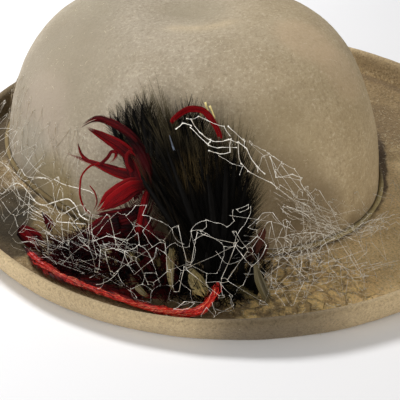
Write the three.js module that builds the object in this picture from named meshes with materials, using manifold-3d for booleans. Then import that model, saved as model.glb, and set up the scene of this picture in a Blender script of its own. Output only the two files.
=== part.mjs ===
// A felt tilt hat: a dented dome crown on a brim with a turned-up rim, dressed on the
// wearer's right with a gathered veil, a black hackle plume and red and golden feathers.
import * as THREE from "three";
import { mergeVertices } from "three/addons/utils/BufferGeometryUtils.js";
import Module from "manifold-3d";

const wasm = await Module();
wasm.setup();

// Millimetres. The front faces -Y, the wearer's right is -X and the brim rests on z = 0.
// A bearing is in degrees round the crown, from the front towards the wearer's right.
const gap = 0.3;
const stations = 60;

const brim = {
  halfWidth: 143,
  halfLength: 137,
  felt: 2.6,
  lift: 4.4,
  restWidth: 6,
  bendWidth: 5.6,
  fullLiftSpan: 0.33,
};

// Height of the rim's edge above the table, round the hat.
const rimHeights = [
  { bearing: 0, height: 14.5 },
  { bearing: 30, height: 14 },
  { bearing: 65, height: 11.5 },
  { bearing: 105, height: 13 },
  { bearing: 180, height: 12 },
  { bearing: 270, height: 13.5 },
];

const crown = {
  halfWidth: 82,
  halfLength: 102,
  height: 90,
  wall: 2.4,
  toRight: 7,
  toBack: 23,
  taper: 0.03,
  frontRise: 0.12,
  shoulderReach: 0.8,
  shoulder: 2.3,
  roundness: 3.44,
  outerRings: 14,
  innerRings: 9,
  dentAimHeight: 30,
};

// Dents in the crown: where the hand has pressed it, how wide and how deep.
// share is the way up the wall, from 0 at the foot to 1 at the top.
const dents = [
  { bearing: 0, share: 1, radius: 38, depth: 5.5 },
  { bearing: 150, share: 0.95, radius: 30, depth: -3.5 },
  { bearing: 135, share: 0.84, radius: 16, depth: 3 },
  { bearing: -15, share: 0.9, radius: 18, depth: 2 },
  { bearing: 118, share: 0.55, radius: 20, depth: -1.4 },
  { bearing: -41, share: 0.48, radius: 32, depth: 1.9 },
];

const welt = { radius: 1.2, sides: 5 };

const colours = {
  crownFelt: 0xab9c84,
  brimFelt: 0x927c5a,
  weltFelt: 0xa99778,
  thread: 0xd8d2c6,
  black: 0x12110d,
  burgundy: 0x7a1016,
  gold: 0x9a8448,
  scarlet: 0xc01a14,
};

const crownCentre = new THREE.Vector2(-crown.toRight, crown.toBack);
const brimCentre = new THREE.Vector2(0, 0);
const { clamp, lerp, smoothstep, degToRad } = THREE.MathUtils;
const ease = (share) => smoothstep(share, 0, 1);

// A point of an oval in plan, at an angle from the front towards the wearer's right.
function oval(centre, halfWidth, halfLength, angle) {
  return new THREE.Vector2(
    centre.x - halfWidth * Math.sin(angle),
    centre.y - halfLength * Math.cos(angle),
  );
}

// One column of a table of rows, at a bearing: eased from row to row, and round the hat if it closes.
function column(rows, name, bearing, closes = false) {
  const turn = closes ? (((bearing - rows[0].bearing) % 360) + 360) % 360 + rows[0].bearing : bearing;
  const list = closes ? [...rows, { ...rows[0], bearing: rows[0].bearing + 360 }] : rows;
  const next = list.findIndex((row) => row.bearing >= turn);
  if (next === 0) return list[0][name];
  if (next < 0) return list[list.length - 1][name];
  const from = list[next - 1];
  const to = list[next];
  return lerp(from[name], to[name], ease((turn - from.bearing) / (to.bearing - from.bearing)));
}

// Underside of the brim: it falls from the crown's foot to the flat ring that rests on the table.
function brimLift(x, y) {
  const inset = brim.bendWidth + brim.restWidth;
  const fromCrown = new THREE.Vector2(x - crownCentre.x, y - crownCentre.y);
  const pastFoot = Math.hypot(fromCrown.x / crown.halfWidth, fromCrown.y / crown.halfLength) - 1;
  const beforeRest = 1 - Math.hypot(x / (brim.halfWidth - inset), y / (brim.halfLength - inset));
  const span = Math.max(pastFoot + beforeRest, 0.001);
  const share = clamp(pastFoot / span, 0, 1);
  return brim.lift * ease(clamp(span / brim.fullLiftSpan, 0, 1)) * (1 - ease(share));
}

const brimTop = (x, y) => brimLift(x, y) + brim.felt;

// A closed solid from equal loops of points. An open run is capped with a fan at each end.
function skin(loops, closes = false) {
  const count = loops[0].length;
  const points = loops.flat();
  const faces = [];
  const last = closes ? loops.length : loops.length - 1;
  for (let i = 0; i < last; i += 1) {
    const here = i * count;
    const there = ((i + 1) % loops.length) * count;
    for (let k = 0; k < count; k += 1) {
      const after = (k + 1) % count;
      faces.push(here + k, there + k, there + after, here + k, there + after, here + after);
    }
  }
  if (!closes) {
    for (const [loop, start] of [[loops[0], 0], [loops[loops.length - 1], points.length - count]]) {
      const middle = loop.reduce((sum, p) => sum.add(p), new THREE.Vector3()).divideScalar(count);
      const hub = points.push(middle) - 1;
      for (let k = 0; k < count; k += 1) {
        const after = (k + 1) % count;
        faces.push(...(start === 0 ? [hub, start + k, start + after] : [hub, start + after, start + k]));
      }
    }
  }
  const geometry = new THREE.BufferGeometry().setFromPoints(points);
  geometry.setIndex(faces);
  return outward(geometry);
}

// Turns a geometry's faces round where they enclose a negative volume.
function outward(geometry) {
  const index = geometry.index.array;
  const [a, b, c] = [new THREE.Vector3(), new THREE.Vector3(), new THREE.Vector3()];
  let volume = 0;
  for (let i = 0; i < index.length; i += 3) {
    a.fromBufferAttribute(geometry.attributes.position, index[i]);
    b.fromBufferAttribute(geometry.attributes.position, index[i + 1]);
    c.fromBufferAttribute(geometry.attributes.position, index[i + 2]);
    volume += a.dot(b.cross(c));
  }
  if (volume < 0) {
    for (let i = 0; i < index.length; i += 3) {
      [index[i + 1], index[i + 2]] = [index[i + 2], index[i + 1]];
    }
  }
  return geometry;
}

function solidOf(geometry) {
  const bare = new THREE.BufferGeometry().setAttribute("position", geometry.attributes.position.clone());
  bare.setIndex(geometry.index.clone());
  const merged = mergeVertices(bare, 1e-4);
  return new wasm.Manifold(
    new wasm.Mesh({
      numProp: 3,
      vertProperties: new Float32Array(merged.attributes.position.array),
      triVerts: new Uint32Array(merged.index.array),
    }),
  );
}

// Joins overlapping geometries into one body.
function fuse(geometries) {
  const mesh = wasm.Manifold.union(geometries.map(solidOf)).getMesh();
  const geometry = new THREE.BufferGeometry();
  geometry.setAttribute("position", new THREE.BufferAttribute(mesh.vertProperties, 3));
  geometry.setIndex(new THREE.BufferAttribute(mesh.triVerts, 1));
  return geometry;
}

function mesh(name, geometry, color, roughness) {
  geometry.computeVertexNormals();
  const made = new THREE.Mesh(geometry, new THREE.MeshStandardMaterial({ color, roughness, metalness: 0 }));
  made.name = name;
  return made;
}

// The crown's section: how far the wall stands out and how far up it is, at an angle in the quarter turn.
function crownSection(quarter) {
  const share = Math.sin(quarter) ** (2 / crown.shoulder);
  const reach = (1 - crown.taper * share) * Math.cos(quarter) ** (2 / crown.roundness);
  return { share, reach };
}

// A point of the crown's dome, drawn in by inset from the outer face.
function domePoint(angle, { share, reach }, inset) {
  const [halfWidth, halfLength] = [crown.halfWidth - inset, crown.halfLength - inset];
  const plan = oval(crownCentre, halfWidth * reach, halfLength * reach, angle);
  const foot = oval(crownCentre, crown.halfWidth, crown.halfLength, angle);
  const floor = brimTop(foot.x, foot.y) + gap;
  const top = (crown.height - inset) * (1 + crown.frontRise * reach * Math.cos(angle));
  return new THREE.Vector3(plan.x, plan.y, lerp(floor, top, share));
}

const dentAim = new THREE.Vector3(crownCentre.x, crownCentre.y, crown.dentAimHeight);

const sectionAtShare = (share) => crownSection(Math.asin(share ** (crown.shoulder / 2)));

function dented(point) {
  let depth = 0;
  for (const dent of dents) {
    const centre = domePoint(degToRad(dent.bearing), sectionAtShare(dent.share), 0);
    depth += dent.depth * Math.exp(-((point.distanceTo(centre) / dent.radius) ** 2));
  }
  return point.clone().add(dentAim.clone().sub(point).normalize().multiplyScalar(depth));
}

// Quarter-turn angles that share the crown's section out in even lengths, from the foot upwards.
function evenQuarters(count) {
  const fine = 400;
  const lengths = [0];
  let before = domePoint(0, crownSection(0), 0);
  for (let i = 1; i <= fine; i += 1) {
    const here = domePoint(0, crownSection((Math.PI / 2) * (i / fine)), 0);
    lengths.push(lengths[i - 1] + here.distanceTo(before));
    before = here;
  }
  return Array.from({ length: count }, (_, k) => {
    const wanted = (lengths[fine] * k) / count;
    return (Math.PI / 2) * (lengths.findIndex((length) => length >= wanted) / fine);
  });
}

function crownRing(quarter, inset) {
  return Array.from({ length: stations }, (_, i) =>
    dented(domePoint((2 * Math.PI * i) / stations, crownSection(quarter), inset)),
  );
}

function crownShell() {
  const outer = evenQuarters(crown.outerRings).map((quarter) => crownRing(quarter, 0)).reverse();
  const inner = evenQuarters(crown.innerRings).map((quarter) => crownRing(quarter, crown.wall));
  return skin([...outer, ...inner]);
}

// One section of the brim: along the underside, up the rim, over its rounded edge and back.
function brimSection(angle) {
  const height = column(rimHeights, "height", (angle * 180) / Math.PI, true);
  const rest = brim.bendWidth + brim.restWidth;
  const innerEdge = oval(crownCentre, crown.halfWidth - crown.wall, crown.halfLength - crown.wall, angle);
  const outerEdge = oval(brimCentre, brim.halfWidth - rest, brim.halfLength - rest, angle);
  const across = [0, 0.35, 0.7, 1].map((share) => innerEdge.clone().lerp(outerEdge, share));
  const rim = [
    { inset: brim.bendWidth, up: 0 },
    { inset: 4, up: 0.6 },
    { inset: 3.1, up: 2.6 },
    { inset: 0.1, up: height - 1 },
    { inset: 1.2, up: height },
    { inset: 2.6, up: height - 1 },
    { inset: 5.8, up: 4.2 },
    { inset: 7.6, up: brim.felt },
  ];
  return [
    ...across.map((p) => new THREE.Vector3(p.x, p.y, brimLift(p.x, p.y))),
    ...rim.map(({ inset, up }) => {
      const p = oval(brimCentre, brim.halfWidth - inset, brim.halfLength - inset, angle);
      return new THREE.Vector3(p.x, p.y, up);
    }),
    ...across.reverse().map((p) => new THREE.Vector3(p.x, p.y, brimTop(p.x, p.y))),
  ];
}

const roundHat = (section) =>
  skin(Array.from({ length: stations }, (_, i) => section((2 * Math.PI * i) / stations)), true);

// The narrow felt roll that covers the join of crown and brim.
function weltSection(angle) {
  const reach = welt.radius + gap;
  const foot = oval(crownCentre, crown.halfWidth + reach, crown.halfLength + reach, angle);
  const away = foot.clone().sub(crownCentre).normalize();
  const up = brimTop(foot.x, foot.y) + reach + gap;
  return Array.from({ length: welt.sides }, (_, k) => {
    const turn = (2 * Math.PI * k) / welt.sides;
    const plan = foot.clone().addScaledVector(away, welt.radius * Math.cos(turn));
    return new THREE.Vector3(plan.x, plan.y, up + welt.radius * Math.sin(turn));
  });
}

// How far the crown's outer wall stands from its centre at a bearing and a height.
function wallReach(bearing, height) {
  const turn = degToRad(bearing);
  const foot = 1 / Math.hypot(Math.sin(turn) / crown.halfWidth, Math.cos(turn) / crown.halfLength);
  const top = crown.height * (1 + crown.shoulderReach * crown.frontRise * Math.cos(turn));
  const floor = brim.felt + brim.lift;
  const share = clamp((height - floor) / (top - floor), 0, 1);
  return foot * sectionAtShare(share).reach;
}

// A place beside the crown: at a bearing, a height, and so far out from the wall.
function place({ bearing, height, out }) {
  const turn = degToRad(bearing);
  const reach = wallReach(bearing, height) + out;
  return new THREE.Vector3(
    crownCentre.x - reach * Math.sin(turn),
    crownCentre.y - reach * Math.cos(turn),
    height,
  );
}

const outFromCrown = (p) => new THREE.Vector3(p.x - crownCentre.x, p.y - crownCentre.y, 0).normalize();

// A flat feather along places, with a width along its length and its face turned away from the crown.
function feather(places, { widths, thick, steps = 5, sides = 4, face = outFromCrown }) {
  const curve = new THREE.CatmullRomCurve3(places.map(place));
  const loops = [];
  for (let i = 0; i <= steps; i += 1) {
    const share = i / steps;
    const middle = curve.getPoint(share);
    const along = curve.getTangent(share);
    const across = along.clone().cross(face(middle)).normalize();
    const front = across.clone().cross(along);
    const widthAt = share * (widths.length - 1);
    const row = Math.min(Math.floor(widthAt), widths.length - 2);
    const half = lerp(widths[row], widths[row + 1], widthAt - row) / 2;
    const deep = Math.min(thick / 2, half);
    loops.push(
      Array.from({ length: sides }, (_, k) => {
        const turn = (2 * Math.PI * k) / sides;
        return middle
          .clone()
          .addScaledVector(across, half * Math.cos(turn))
          .addScaledVector(front, deep * Math.sin(turn));
      }),
    );
  }
  return skin(loops);
}

// A ball of a width and a height, about a middle.
function ball(wide, tall, middle) {
  const sphere = new THREE.SphereGeometry(1, 9, 6).deleteAttribute("normal").deleteAttribute("uv");
  return mergeVertices(sphere)
    .scale(wide / 2, wide / 2, tall / 2)
    .translate(middle.x, middle.y, middle.z);
}

// A round head that feathers are bound to, sitting on the brim.
function head({ bearing, out, wide, tall }) {
  const seat = place({ bearing, height: tall, out });
  seat.z = brimTop(seat.x, seat.y) + gap + tall / 2;
  return ball(wide, tall, seat);
}

// Black hackle plume: each lock springs from the head and leans back on the crown.
const plumeHead = { bearing: 41, out: 22, wide: 15, tall: 11 };
const plumeLocks = [
  { bearing: 71, height: 70, width: 12 },
  { bearing: 67, height: 77, width: 12 },
  { bearing: 62, height: 82, width: 12 },
  { bearing: 57, height: 83, width: 12 },
  { bearing: 52, height: 68, width: 13 },
  { bearing: 46, height: 76, width: 13 },
  { bearing: 41, height: 80, width: 13 },
  { bearing: 36, height: 78, width: 13 },
  { bearing: 32, height: 70, width: 12 },
  { bearing: 30, height: 56, width: 11 },
];
// How far a lock stands out, has fanned towards its tip and has risen, along its length.
const plumeLean = [
  { out: plumeHead.out, fan: 0, rise: 0 },
  { out: 17.5, fan: 0.27, rise: 0.35 },
  { out: 14.5, fan: 0.54, rise: 0.7 },
  { out: 8.5, fan: 1, rise: 1 },
];
const lockStart = 9;
const lockThick = 5;

function blackPlume() {
  const locks = plumeLocks.map(({ bearing, height, width }) => {
    const places = plumeLean.map(({ out, fan, rise }) => ({
      bearing: lerp(plumeHead.bearing, bearing, fan),
      height: lerp(lockStart, height, rise),
      out,
    }));
    return feather(places, { widths: [5, width, width, 1.5], thick: lockThick });
  });
  return fuse([head(plumeHead), ...locks]);
}

// Red biots: narrow curled quills bound to a head beside the plume.
// Each path is a row of bearing, height and out.
const biotHead = { bearing: 62, out: 21, wide: 13, tall: 12 };
const biots = [
  { width: 5, path: [[62, 32, 20], [63, 50, 18], [69, 64, 17], [77, 68, 18], [83, 62, 19], [86, 53, 20]] },
  { width: 7, path: [[62, 34, 20], [65, 47, 18], [72, 55, 16], [80, 61, 15], [84, 58, 15]] },
  { width: 5, path: [[63, 28, 20], [69, 42, 17], [78, 47, 15], [86, 48, 14], [91, 46, 14]] },
  { width: 3, path: [[64, 28, 19], [72, 38, 16], [82, 44, 14], [88, 50, 13]] },
  { width: 3, path: [[65, 24, 20], [77, 38, 17], [86, 33, 16], [85, 19, 19]] },
  { width: 7, path: [[62, 30, 22], [66, 37, 22], [74, 33, 21], [82, 23, 21]] },
  { width: 7, path: [[70, 14, 20], [77, 13, 20], [84, 9.5, 21]] },
  { width: 7, path: [[72, 10, 22], [84, 10, 23], [95, 8, 22]] },
  { width: 8, path: [[70, 10, 24], [78, 10, 28], [88, 9, 31]] },
];

const bearingHeightOut = ([bearing, height, out]) => ({ bearing, height, out });

function redBiots() {
  const start = { bearing: biotHead.bearing, height: 10, out: biotHead.out };
  const strips = biots.map(({ width, path }) => {
    const places = [start, ...path.map(bearingHeightOut)];
    return feather(places, { widths: [4, width, width, width * 0.8, 0.8], thick: 1.4, steps: 6 });
  });
  return fuse([head(biotHead), ...strips]);
}

// One more biot that stands behind the plume and curls over its middle.
const overCurl = [
  [51, 45, 1.6],
  [51, 66, 1.8],
  [50.5, 75, 5],
  [50, 78.5, 11],
  [48, 79, 16.5],
  [43.5, 76, 17.5],
  [41.5, 67.5, 17.5],
];

function redCurl() {
  return feather(overCurl.map(bearingHeightOut), { widths: [3, 3.4, 3.4, 3, 1], thick: 1.2, steps: 9 });
}

// Short golden hackles in front of the plume and the biots.
const hackleHead = { bearing: 52, out: 30, wide: 9, tall: 8 };
const hackles = [
  { bearing: 66, height: 17, out: 31 },
  { bearing: 61, height: 20, out: 29 },
  { bearing: 56, height: 22, out: 27 },
  { bearing: 51, height: 21, out: 25 },
  { bearing: 46, height: 16, out: 33 },
  { bearing: 57, height: 11, out: 37 },
];

function goldenHackles() {
  const start = { bearing: hackleHead.bearing, height: 7, out: hackleHead.out };
  const tufts = hackles.map((tip) => {
    const middle = {
      bearing: lerp(start.bearing, tip.bearing, 0.5),
      height: lerp(start.height, tip.height, 0.6),
      out: lerp(start.out, tip.out, 0.3),
    };
    return feather([start, middle, tip], { widths: [3, 6, 5, 1], thick: 2, steps: 4 });
  });
  return fuse([head(hackleHead), ...tufts]);
}

// A long scarlet feather rolled along its edge, lying in the gutter of the rim.
const quill = {
  thick: 4.2,
  curledEnd: 5.5,
  vaneWidth: 12,
  vaneThick: 1.2,
  route: [
    [86, 5.6, 36.5],
    [80, 5.2, 39],
    [73, 5.1, 41.2],
    [65, 5.1, 42.5],
    [57, 5.1, 44.2],
    [50, 5.1, 44.6],
    [45, 7, 42],
    [42.4, 13.3, 35.5],
  ],
  vane: [
    [92, 5.4, 33],
    [80, 4.4, 38],
    [68, 4.4, 39],
    [58, 4.4, 40],
  ],
};

function redQuill() {
  const upward = () => new THREE.Vector3(0, 0, 1);
  const roll = feather(quill.route.map(bearingHeightOut), {
    widths: [3, ...Array(5).fill(quill.thick), quill.curledEnd],
    thick: quill.thick,
    steps: 13,
    sides: 6,
    face: upward,
  });
  const vane = feather(quill.vane.map(bearingHeightOut), {
    widths: [5, quill.vaneWidth, quill.vaneWidth, 5],
    thick: quill.vaneThick,
    steps: 6,
    face: upward,
  });
  return fuse([roll, vane]);
}

// The veil's fall from its upper edge to its lower one, round the trimmed side.
// lowClear is how far its lower edge stays above the brim.
const veilFalls = [
  { bearing: -30, topOut: 2, topHeight: 13, bellyOut: 7, bellyHeight: 10, lowOut: 12, lowClear: 0.9 },
  { bearing: -12, topOut: 2, topHeight: 17, bellyOut: 9, bellyHeight: 12, lowOut: 16, lowClear: 0.9 },
  { bearing: 2, topOut: 2, topHeight: 27, bellyOut: 12, bellyHeight: 16, lowOut: 24, lowClear: 0.9 },
  { bearing: 16, topOut: 5, topHeight: 36, bellyOut: 22, bellyHeight: 20, lowOut: 34, lowClear: 1.2 },
  { bearing: 30, topOut: 21, topHeight: 36, bellyOut: 32, bellyHeight: 23, lowOut: 40, lowClear: 5 },
  { bearing: 44, topOut: 27, topHeight: 35, bellyOut: 37, bellyHeight: 25, lowOut: 42, lowClear: 11 },
  { bearing: 60, topOut: 27, topHeight: 34, bellyOut: 36, bellyHeight: 25, lowOut: 41, lowClear: 11 },
  { bearing: 76, topOut: 25, topHeight: 33, bellyOut: 33, bellyHeight: 22, lowOut: 38, lowClear: 9 },
  { bearing: 95, topOut: 8, topHeight: 34, bellyOut: 25, bellyHeight: 20, lowOut: 33, lowClear: 6 },
  { bearing: 120, topOut: 2, topHeight: 32, bellyOut: 15, bellyHeight: 18, lowOut: 22, lowClear: 0.9 },
  { bearing: 150, topOut: 2, topHeight: 24, bellyOut: 9, bellyHeight: 14, lowOut: 11, lowClear: 0.9 },
];
const veil = { columns: 24, rows: 3, hole: 0.86, thick: 0.8, crumple: 1.2, crumpleWaves: 9, crumpleSkew: 4 };

// A point of the veil, from share 0 to 1 round the hat and from its upper to its lower edge.
function veilPoint(share, down) {
  const bearing = lerp(veilFalls[0].bearing, veilFalls[veilFalls.length - 1].bearing, share);
  const at = (name) => column(veilFalls, name, bearing);
  const bend = (top, belly, low) => lerp(lerp(top, belly, down), lerp(belly, low, down), down);
  const wave = Math.sin(2 * Math.PI * veil.crumpleWaves * share + veil.crumpleSkew * down);
  const ripple = veil.crumple * wave * Math.sin(Math.PI * down);
  const landing = place({ bearing, height: brim.felt, out: at("lowOut") });
  return place({
    bearing,
    height: bend(at("topHeight"), at("bellyHeight"), brimTop(landing.x, landing.y) + at("lowClear")),
    out: bend(at("topOut"), at("bellyOut"), at("lowOut")) + ripple,
  });
}

// The tongue of net that runs up over the plume, along its middle line.
const tongueLine = [
  { bearing: 8, height: 26, out: 9, half: 7 },
  { bearing: 17, height: 42, out: 12, half: 9 },
  { bearing: 26, height: 58, out: 16, half: 10 },
  { bearing: 36, height: 68, out: 20, half: 10 },
  { bearing: 50, height: 72, out: 21, half: 7 },
];
const tongue = { columns: 7, rows: 2 };

function tonguePoint(share, down) {
  const bearing = lerp(tongueLine[0].bearing, tongueLine[tongueLine.length - 1].bearing, share);
  const at = (name) => column(tongueLine, name, bearing);
  return place({ bearing, height: at("height") + at("half") * (1 - 2 * down), out: at("out") });
}

// A sheet of six-sided meshes over a surface of two shares, each with its hole cut through.
function hexNet(surface, columns, rows) {
  const points = [];
  const faces = [];
  const numbers = new Map();
  const rim = new Map();
  const wide = columns + 0.5;
  const tall = rows + 1 / 3;
  const normalAt = (a, b) => {
    const step = 1e-3;
    const alongA = surface(a + step, b).sub(surface(a - step, b));
    const alongB = surface(a, b + step).sub(surface(a, b - step));
    return alongA.cross(alongB).normalize();
  };
  // Each lattice point has an upper vertex and, next to it, a lower one.
  const vertex = (x, y) => {
    const key = `${x.toFixed(3)} ${y.toFixed(3)}`;
    if (!numbers.has(key)) {
      const [a, b] = [clamp(x / wide, 0.001, 0.999), clamp(y / tall, 0.001, 0.999)];
      const lift = normalAt(a, b).multiplyScalar(veil.thick / 2);
      numbers.set(key, points.length);
      points.push(surface(a, b).add(lift), surface(a, b).sub(lift));
    }
    return numbers.get(key);
  };
  const quad = (a, b, c, d) => faces.push(a, b, c, a, c, d);
  for (let row = 0; row < rows; row += 1) {
    for (let col = 0; col < columns; col += 1) {
      const [x, y] = [col + 0.5 + (row % 2) / 2, row + 2 / 3];
      const ring = [[0, -2], [0.5, -1], [0.5, 1], [0, 2], [-0.5, 1], [-0.5, -1]];
      const outer = ring.map(([dx, dy]) => vertex(x + dx, y + dy / 3));
      const hole = ring.map(([dx, dy]) => vertex(x + dx * veil.hole, y + (dy / 3) * veil.hole));
      for (let k = 0; k < ring.length; k += 1) {
        const after = (k + 1) % ring.length;
        quad(outer[k], outer[after], hole[after], hole[k]);
        quad(outer[after] + 1, outer[k] + 1, hole[k] + 1, hole[after] + 1);
        quad(hole[k], hole[after], hole[after] + 1, hole[k] + 1);
        const shared = `${outer[after]} ${outer[k]}`;
        if (!rim.delete(shared)) rim.set(`${outer[k]} ${outer[after]}`, [outer[k], outer[after]]);
      }
    }
  }
  for (const [from, to] of rim.values()) quad(to, from, from + 1, to + 1);
  const geometry = new THREE.BufferGeometry().setFromPoints(points);
  geometry.setIndex(faces);
  return outward(geometry);
}

// The gathered knot where the tongue leaves the band.
const knot = { bearing: 10, height: 22, out: 11, size: 9 };

function veilNet() {
  const band = hexNet(veilPoint, veil.columns, veil.rows);
  const strip = hexNet(tonguePoint, tongue.columns, tongue.rows);
  return fuse([band, strip, ball(knot.size, knot.size, place(knot))]);
}

const hat = new THREE.Group();
hat.add(
  mesh("crown", crownShell(), colours.crownFelt, 0.95),
  mesh("brim", roundHat(brimSection), colours.brimFelt, 0.95),
  mesh("felt_welt", roundHat(weltSection), colours.weltFelt, 0.95),
  mesh("black_plume", blackPlume(), colours.black, 0.6),
  mesh("red_biots", redBiots(), colours.burgundy, 0.45),
  mesh("red_curl", redCurl(), colours.burgundy, 0.45),
  mesh("golden_hackles", goldenHackles(), colours.gold, 0.5),
  mesh("red_quill", redQuill(), colours.scarlet, 0.4),
  mesh("veil", veilNet(), colours.thread, 0.5),
);

export default hat;
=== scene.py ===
import math
import bpy
import numpy as np
from mathutils import Matrix, Vector, noise


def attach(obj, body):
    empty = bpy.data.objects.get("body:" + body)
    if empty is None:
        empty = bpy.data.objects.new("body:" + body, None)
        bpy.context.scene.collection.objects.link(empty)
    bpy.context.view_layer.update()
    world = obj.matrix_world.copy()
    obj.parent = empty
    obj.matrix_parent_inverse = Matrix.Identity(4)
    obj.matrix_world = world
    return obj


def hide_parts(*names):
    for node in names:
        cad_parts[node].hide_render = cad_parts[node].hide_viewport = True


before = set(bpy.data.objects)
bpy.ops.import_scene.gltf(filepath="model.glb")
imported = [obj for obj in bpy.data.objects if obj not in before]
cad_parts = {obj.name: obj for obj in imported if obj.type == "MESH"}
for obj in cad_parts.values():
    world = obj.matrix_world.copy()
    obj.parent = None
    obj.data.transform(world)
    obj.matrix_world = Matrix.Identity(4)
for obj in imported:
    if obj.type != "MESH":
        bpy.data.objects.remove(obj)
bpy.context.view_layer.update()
mm = 0.001
print("frame loaded with", len(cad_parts), "nodes")

# The hat's own form, in millimetres: front to -Y, wearer's right to -X, brim resting on z = 0.
# A bearing is in degrees round the crown, from the front towards the wearer's right.
form = {
    "brimHalfWidth": 143,
    "brimHalfLength": 137,
    "brimFelt": 2.6,
    "brimLift": 4.4,
    "restWidth": 6,
    "bendWidth": 5.6,
    "fullLiftSpan": 0.33,
    "rimBearings": [0, 30, 65, 105, 180, 270, 360],
    "rimHeights": [14.5, 14, 11.5, 13, 12, 13.5, 14.5],
    "crownHalfWidth": 82,
    "crownHalfLength": 102,
    "crownHeight": 90,
    "crownWall": 2.4,
    "crownCentre": (-7, 23),
    "crownTaper": 0.03,
    "crownFrontRise": 0.12,
    "crownShoulder": 2.3,
    "crownRoundness": 3.44,
    "shoulderReach": 0.8,
    "seamGap": 0.3,
    "dentAimHeight": 30,
    "dents": [  # bearing, share of the way up, radius, depth
        (0, 1, 38, 5.5),
        (150, 0.95, 30, -3.5),
        (135, 0.84, 16, 3),
        (-15, 0.9, 18, 2),
        (118, 0.55, 20, -1.4),
        (-41, 0.48, 32, 1.9),
    ],
}
crownX, crownY = form["crownCentre"]


# numbers and places

def ease(share):
    share = np.clip(share, 0, 1)
    return share * share * (3 - 2 * share)


def unit(vectors):
    return vectors / np.maximum(np.linalg.norm(vectors, axis=-1, keepdims=True), 1e-9)


def between(low, high, share):
    return low + (high - low) * share


def roundTurns(count):
    return 2 * np.pi * np.arange(count) / count


def easedTable(stops, values, at):
    stops = np.asarray(stops, float)
    values = np.asarray(values, float)
    row = np.clip(np.searchsorted(stops, at) - 1, 0, len(stops) - 2)
    return between(values[row], values[row + 1], ease((at - stops[row]) / (stops[row + 1] - stops[row])))


def brimLift(x, y):
    inset = form["bendWidth"] + form["restWidth"]
    pastFoot = np.hypot((x - crownX) / form["crownHalfWidth"], (y - crownY) / form["crownHalfLength"]) - 1
    beforeRest = 1 - np.hypot(x / (form["brimHalfWidth"] - inset), y / (form["brimHalfLength"] - inset))
    span = np.maximum(pastFoot + beforeRest, 0.001)
    fall = 1 - ease(pastFoot / span)
    return form["brimLift"] * ease(span / form["fullLiftSpan"]) * fall


def brimTop(x, y):
    return brimLift(x, y) + form["brimFelt"]


# the way out from the brim's middle, 1 at its edge
def brimReach(points):
    return np.hypot(points[..., 0] / form["brimHalfWidth"], points[..., 1] / form["brimHalfLength"])


def sectionAtShare(share):
    quarter = np.arcsin(np.clip(share, 0, 1) ** (form["crownShoulder"] / 2))
    return (1 - form["crownTaper"] * share) * np.cos(quarter) ** (2 / form["crownRoundness"])


def wallReach(bearing, height):
    turn = np.radians(bearing)
    foot = 1 / np.hypot(np.sin(turn) / form["crownHalfWidth"], np.cos(turn) / form["crownHalfLength"])
    top = form["crownHeight"] * (1 + form["shoulderReach"] * form["crownFrontRise"] * np.cos(turn))
    floor = form["brimFelt"] + form["brimLift"]
    return foot * sectionAtShare(np.clip((height - floor) / (top - floor), 0, 1))


# a place beside the crown: at a bearing, a height, and so far out from the wall
def place(bearing, height, out):
    turn = np.radians(bearing)
    reach = wallReach(bearing, height) + out
    x = crownX - reach * np.sin(turn)
    y = crownY - reach * np.cos(turn)
    return np.stack([x, y, height + 0 * x], -1)


def awayFromCrown(points):
    away = np.array(points, float)
    away[..., 0] -= crownX
    away[..., 1] -= crownY
    away[..., 2] = 0
    return unit(away)


# keeps strands off the felt
def keptClear(points, room=0.7):
    offset = points[:, :2] - [crownX, crownY]
    reach = np.linalg.norm(offset, axis=1)
    bearing = np.degrees(np.arctan2(-offset[:, 0], -offset[:, 1]))
    wanted = np.maximum(reach, wallReach(bearing, points[:, 2]) + room)
    points = points.copy()
    points[:, :2] = [crownX, crownY] + offset * (wanted / reach)[:, None]
    points[:, 2] = np.maximum(points[:, 2], brimTop(points[:, 0], points[:, 1]) + room)
    return points


# a smooth line through a few points
def smoothLine(stops, count):
    stops = np.asarray(stops, float)
    padded = np.vstack([2 * stops[0] - stops[1], stops, 2 * stops[-1] - stops[-2]])
    at = np.linspace(0, len(stops) - 1, count)
    row = np.minimum(at.astype(int), len(stops) - 2)
    f = (at - row)[:, None]
    a, b, c, d = padded[row], padded[row + 1], padded[row + 2], padded[row + 3]
    return 0.5 * (2 * b + (c - a) * f + (2 * a - 5 * b + 4 * c - d) * f**2 + (3 * b - a - 3 * c + d) * f**3)


noiseSeed = 5
noise.seed_set(noiseSeed)  # the noise vectors are then the same each run


def drift(seed):
    return Vector((seed * 7.3, seed * 3.1, seed * 5.7))


def ripple(points, size, seed):
    return np.array([noise.noise(Vector(p) / size + drift(seed)) for p in points])


def rippleVector(points, size, seed):
    return np.array([noise.noise_vector(Vector(p) / size + drift(seed)) for p in points])


# mesh making

def gridFaces(rows, columns, closesAcross=False):
    i = np.arange(rows - 1)[:, None]
    j = np.arange(columns if closesAcross else columns - 1)[None, :]
    after = (j + 1) % columns
    quads = np.stack(np.broadcast_arrays(i * columns + j, i * columns + after,
                                         (i + 1) * columns + after, (i + 1) * columns + j), -1)
    return quads.reshape(-1, 4)


# a grid that also closes along its rows, as round a brim
def ringFaces(around, wide):
    return gridFaces(around + 1, wide, True) % (around * wide)


def splitQuads(quads):
    return np.concatenate([quads[:, [0, 1, 2]], quads[:, [0, 2, 3]]])


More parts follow.
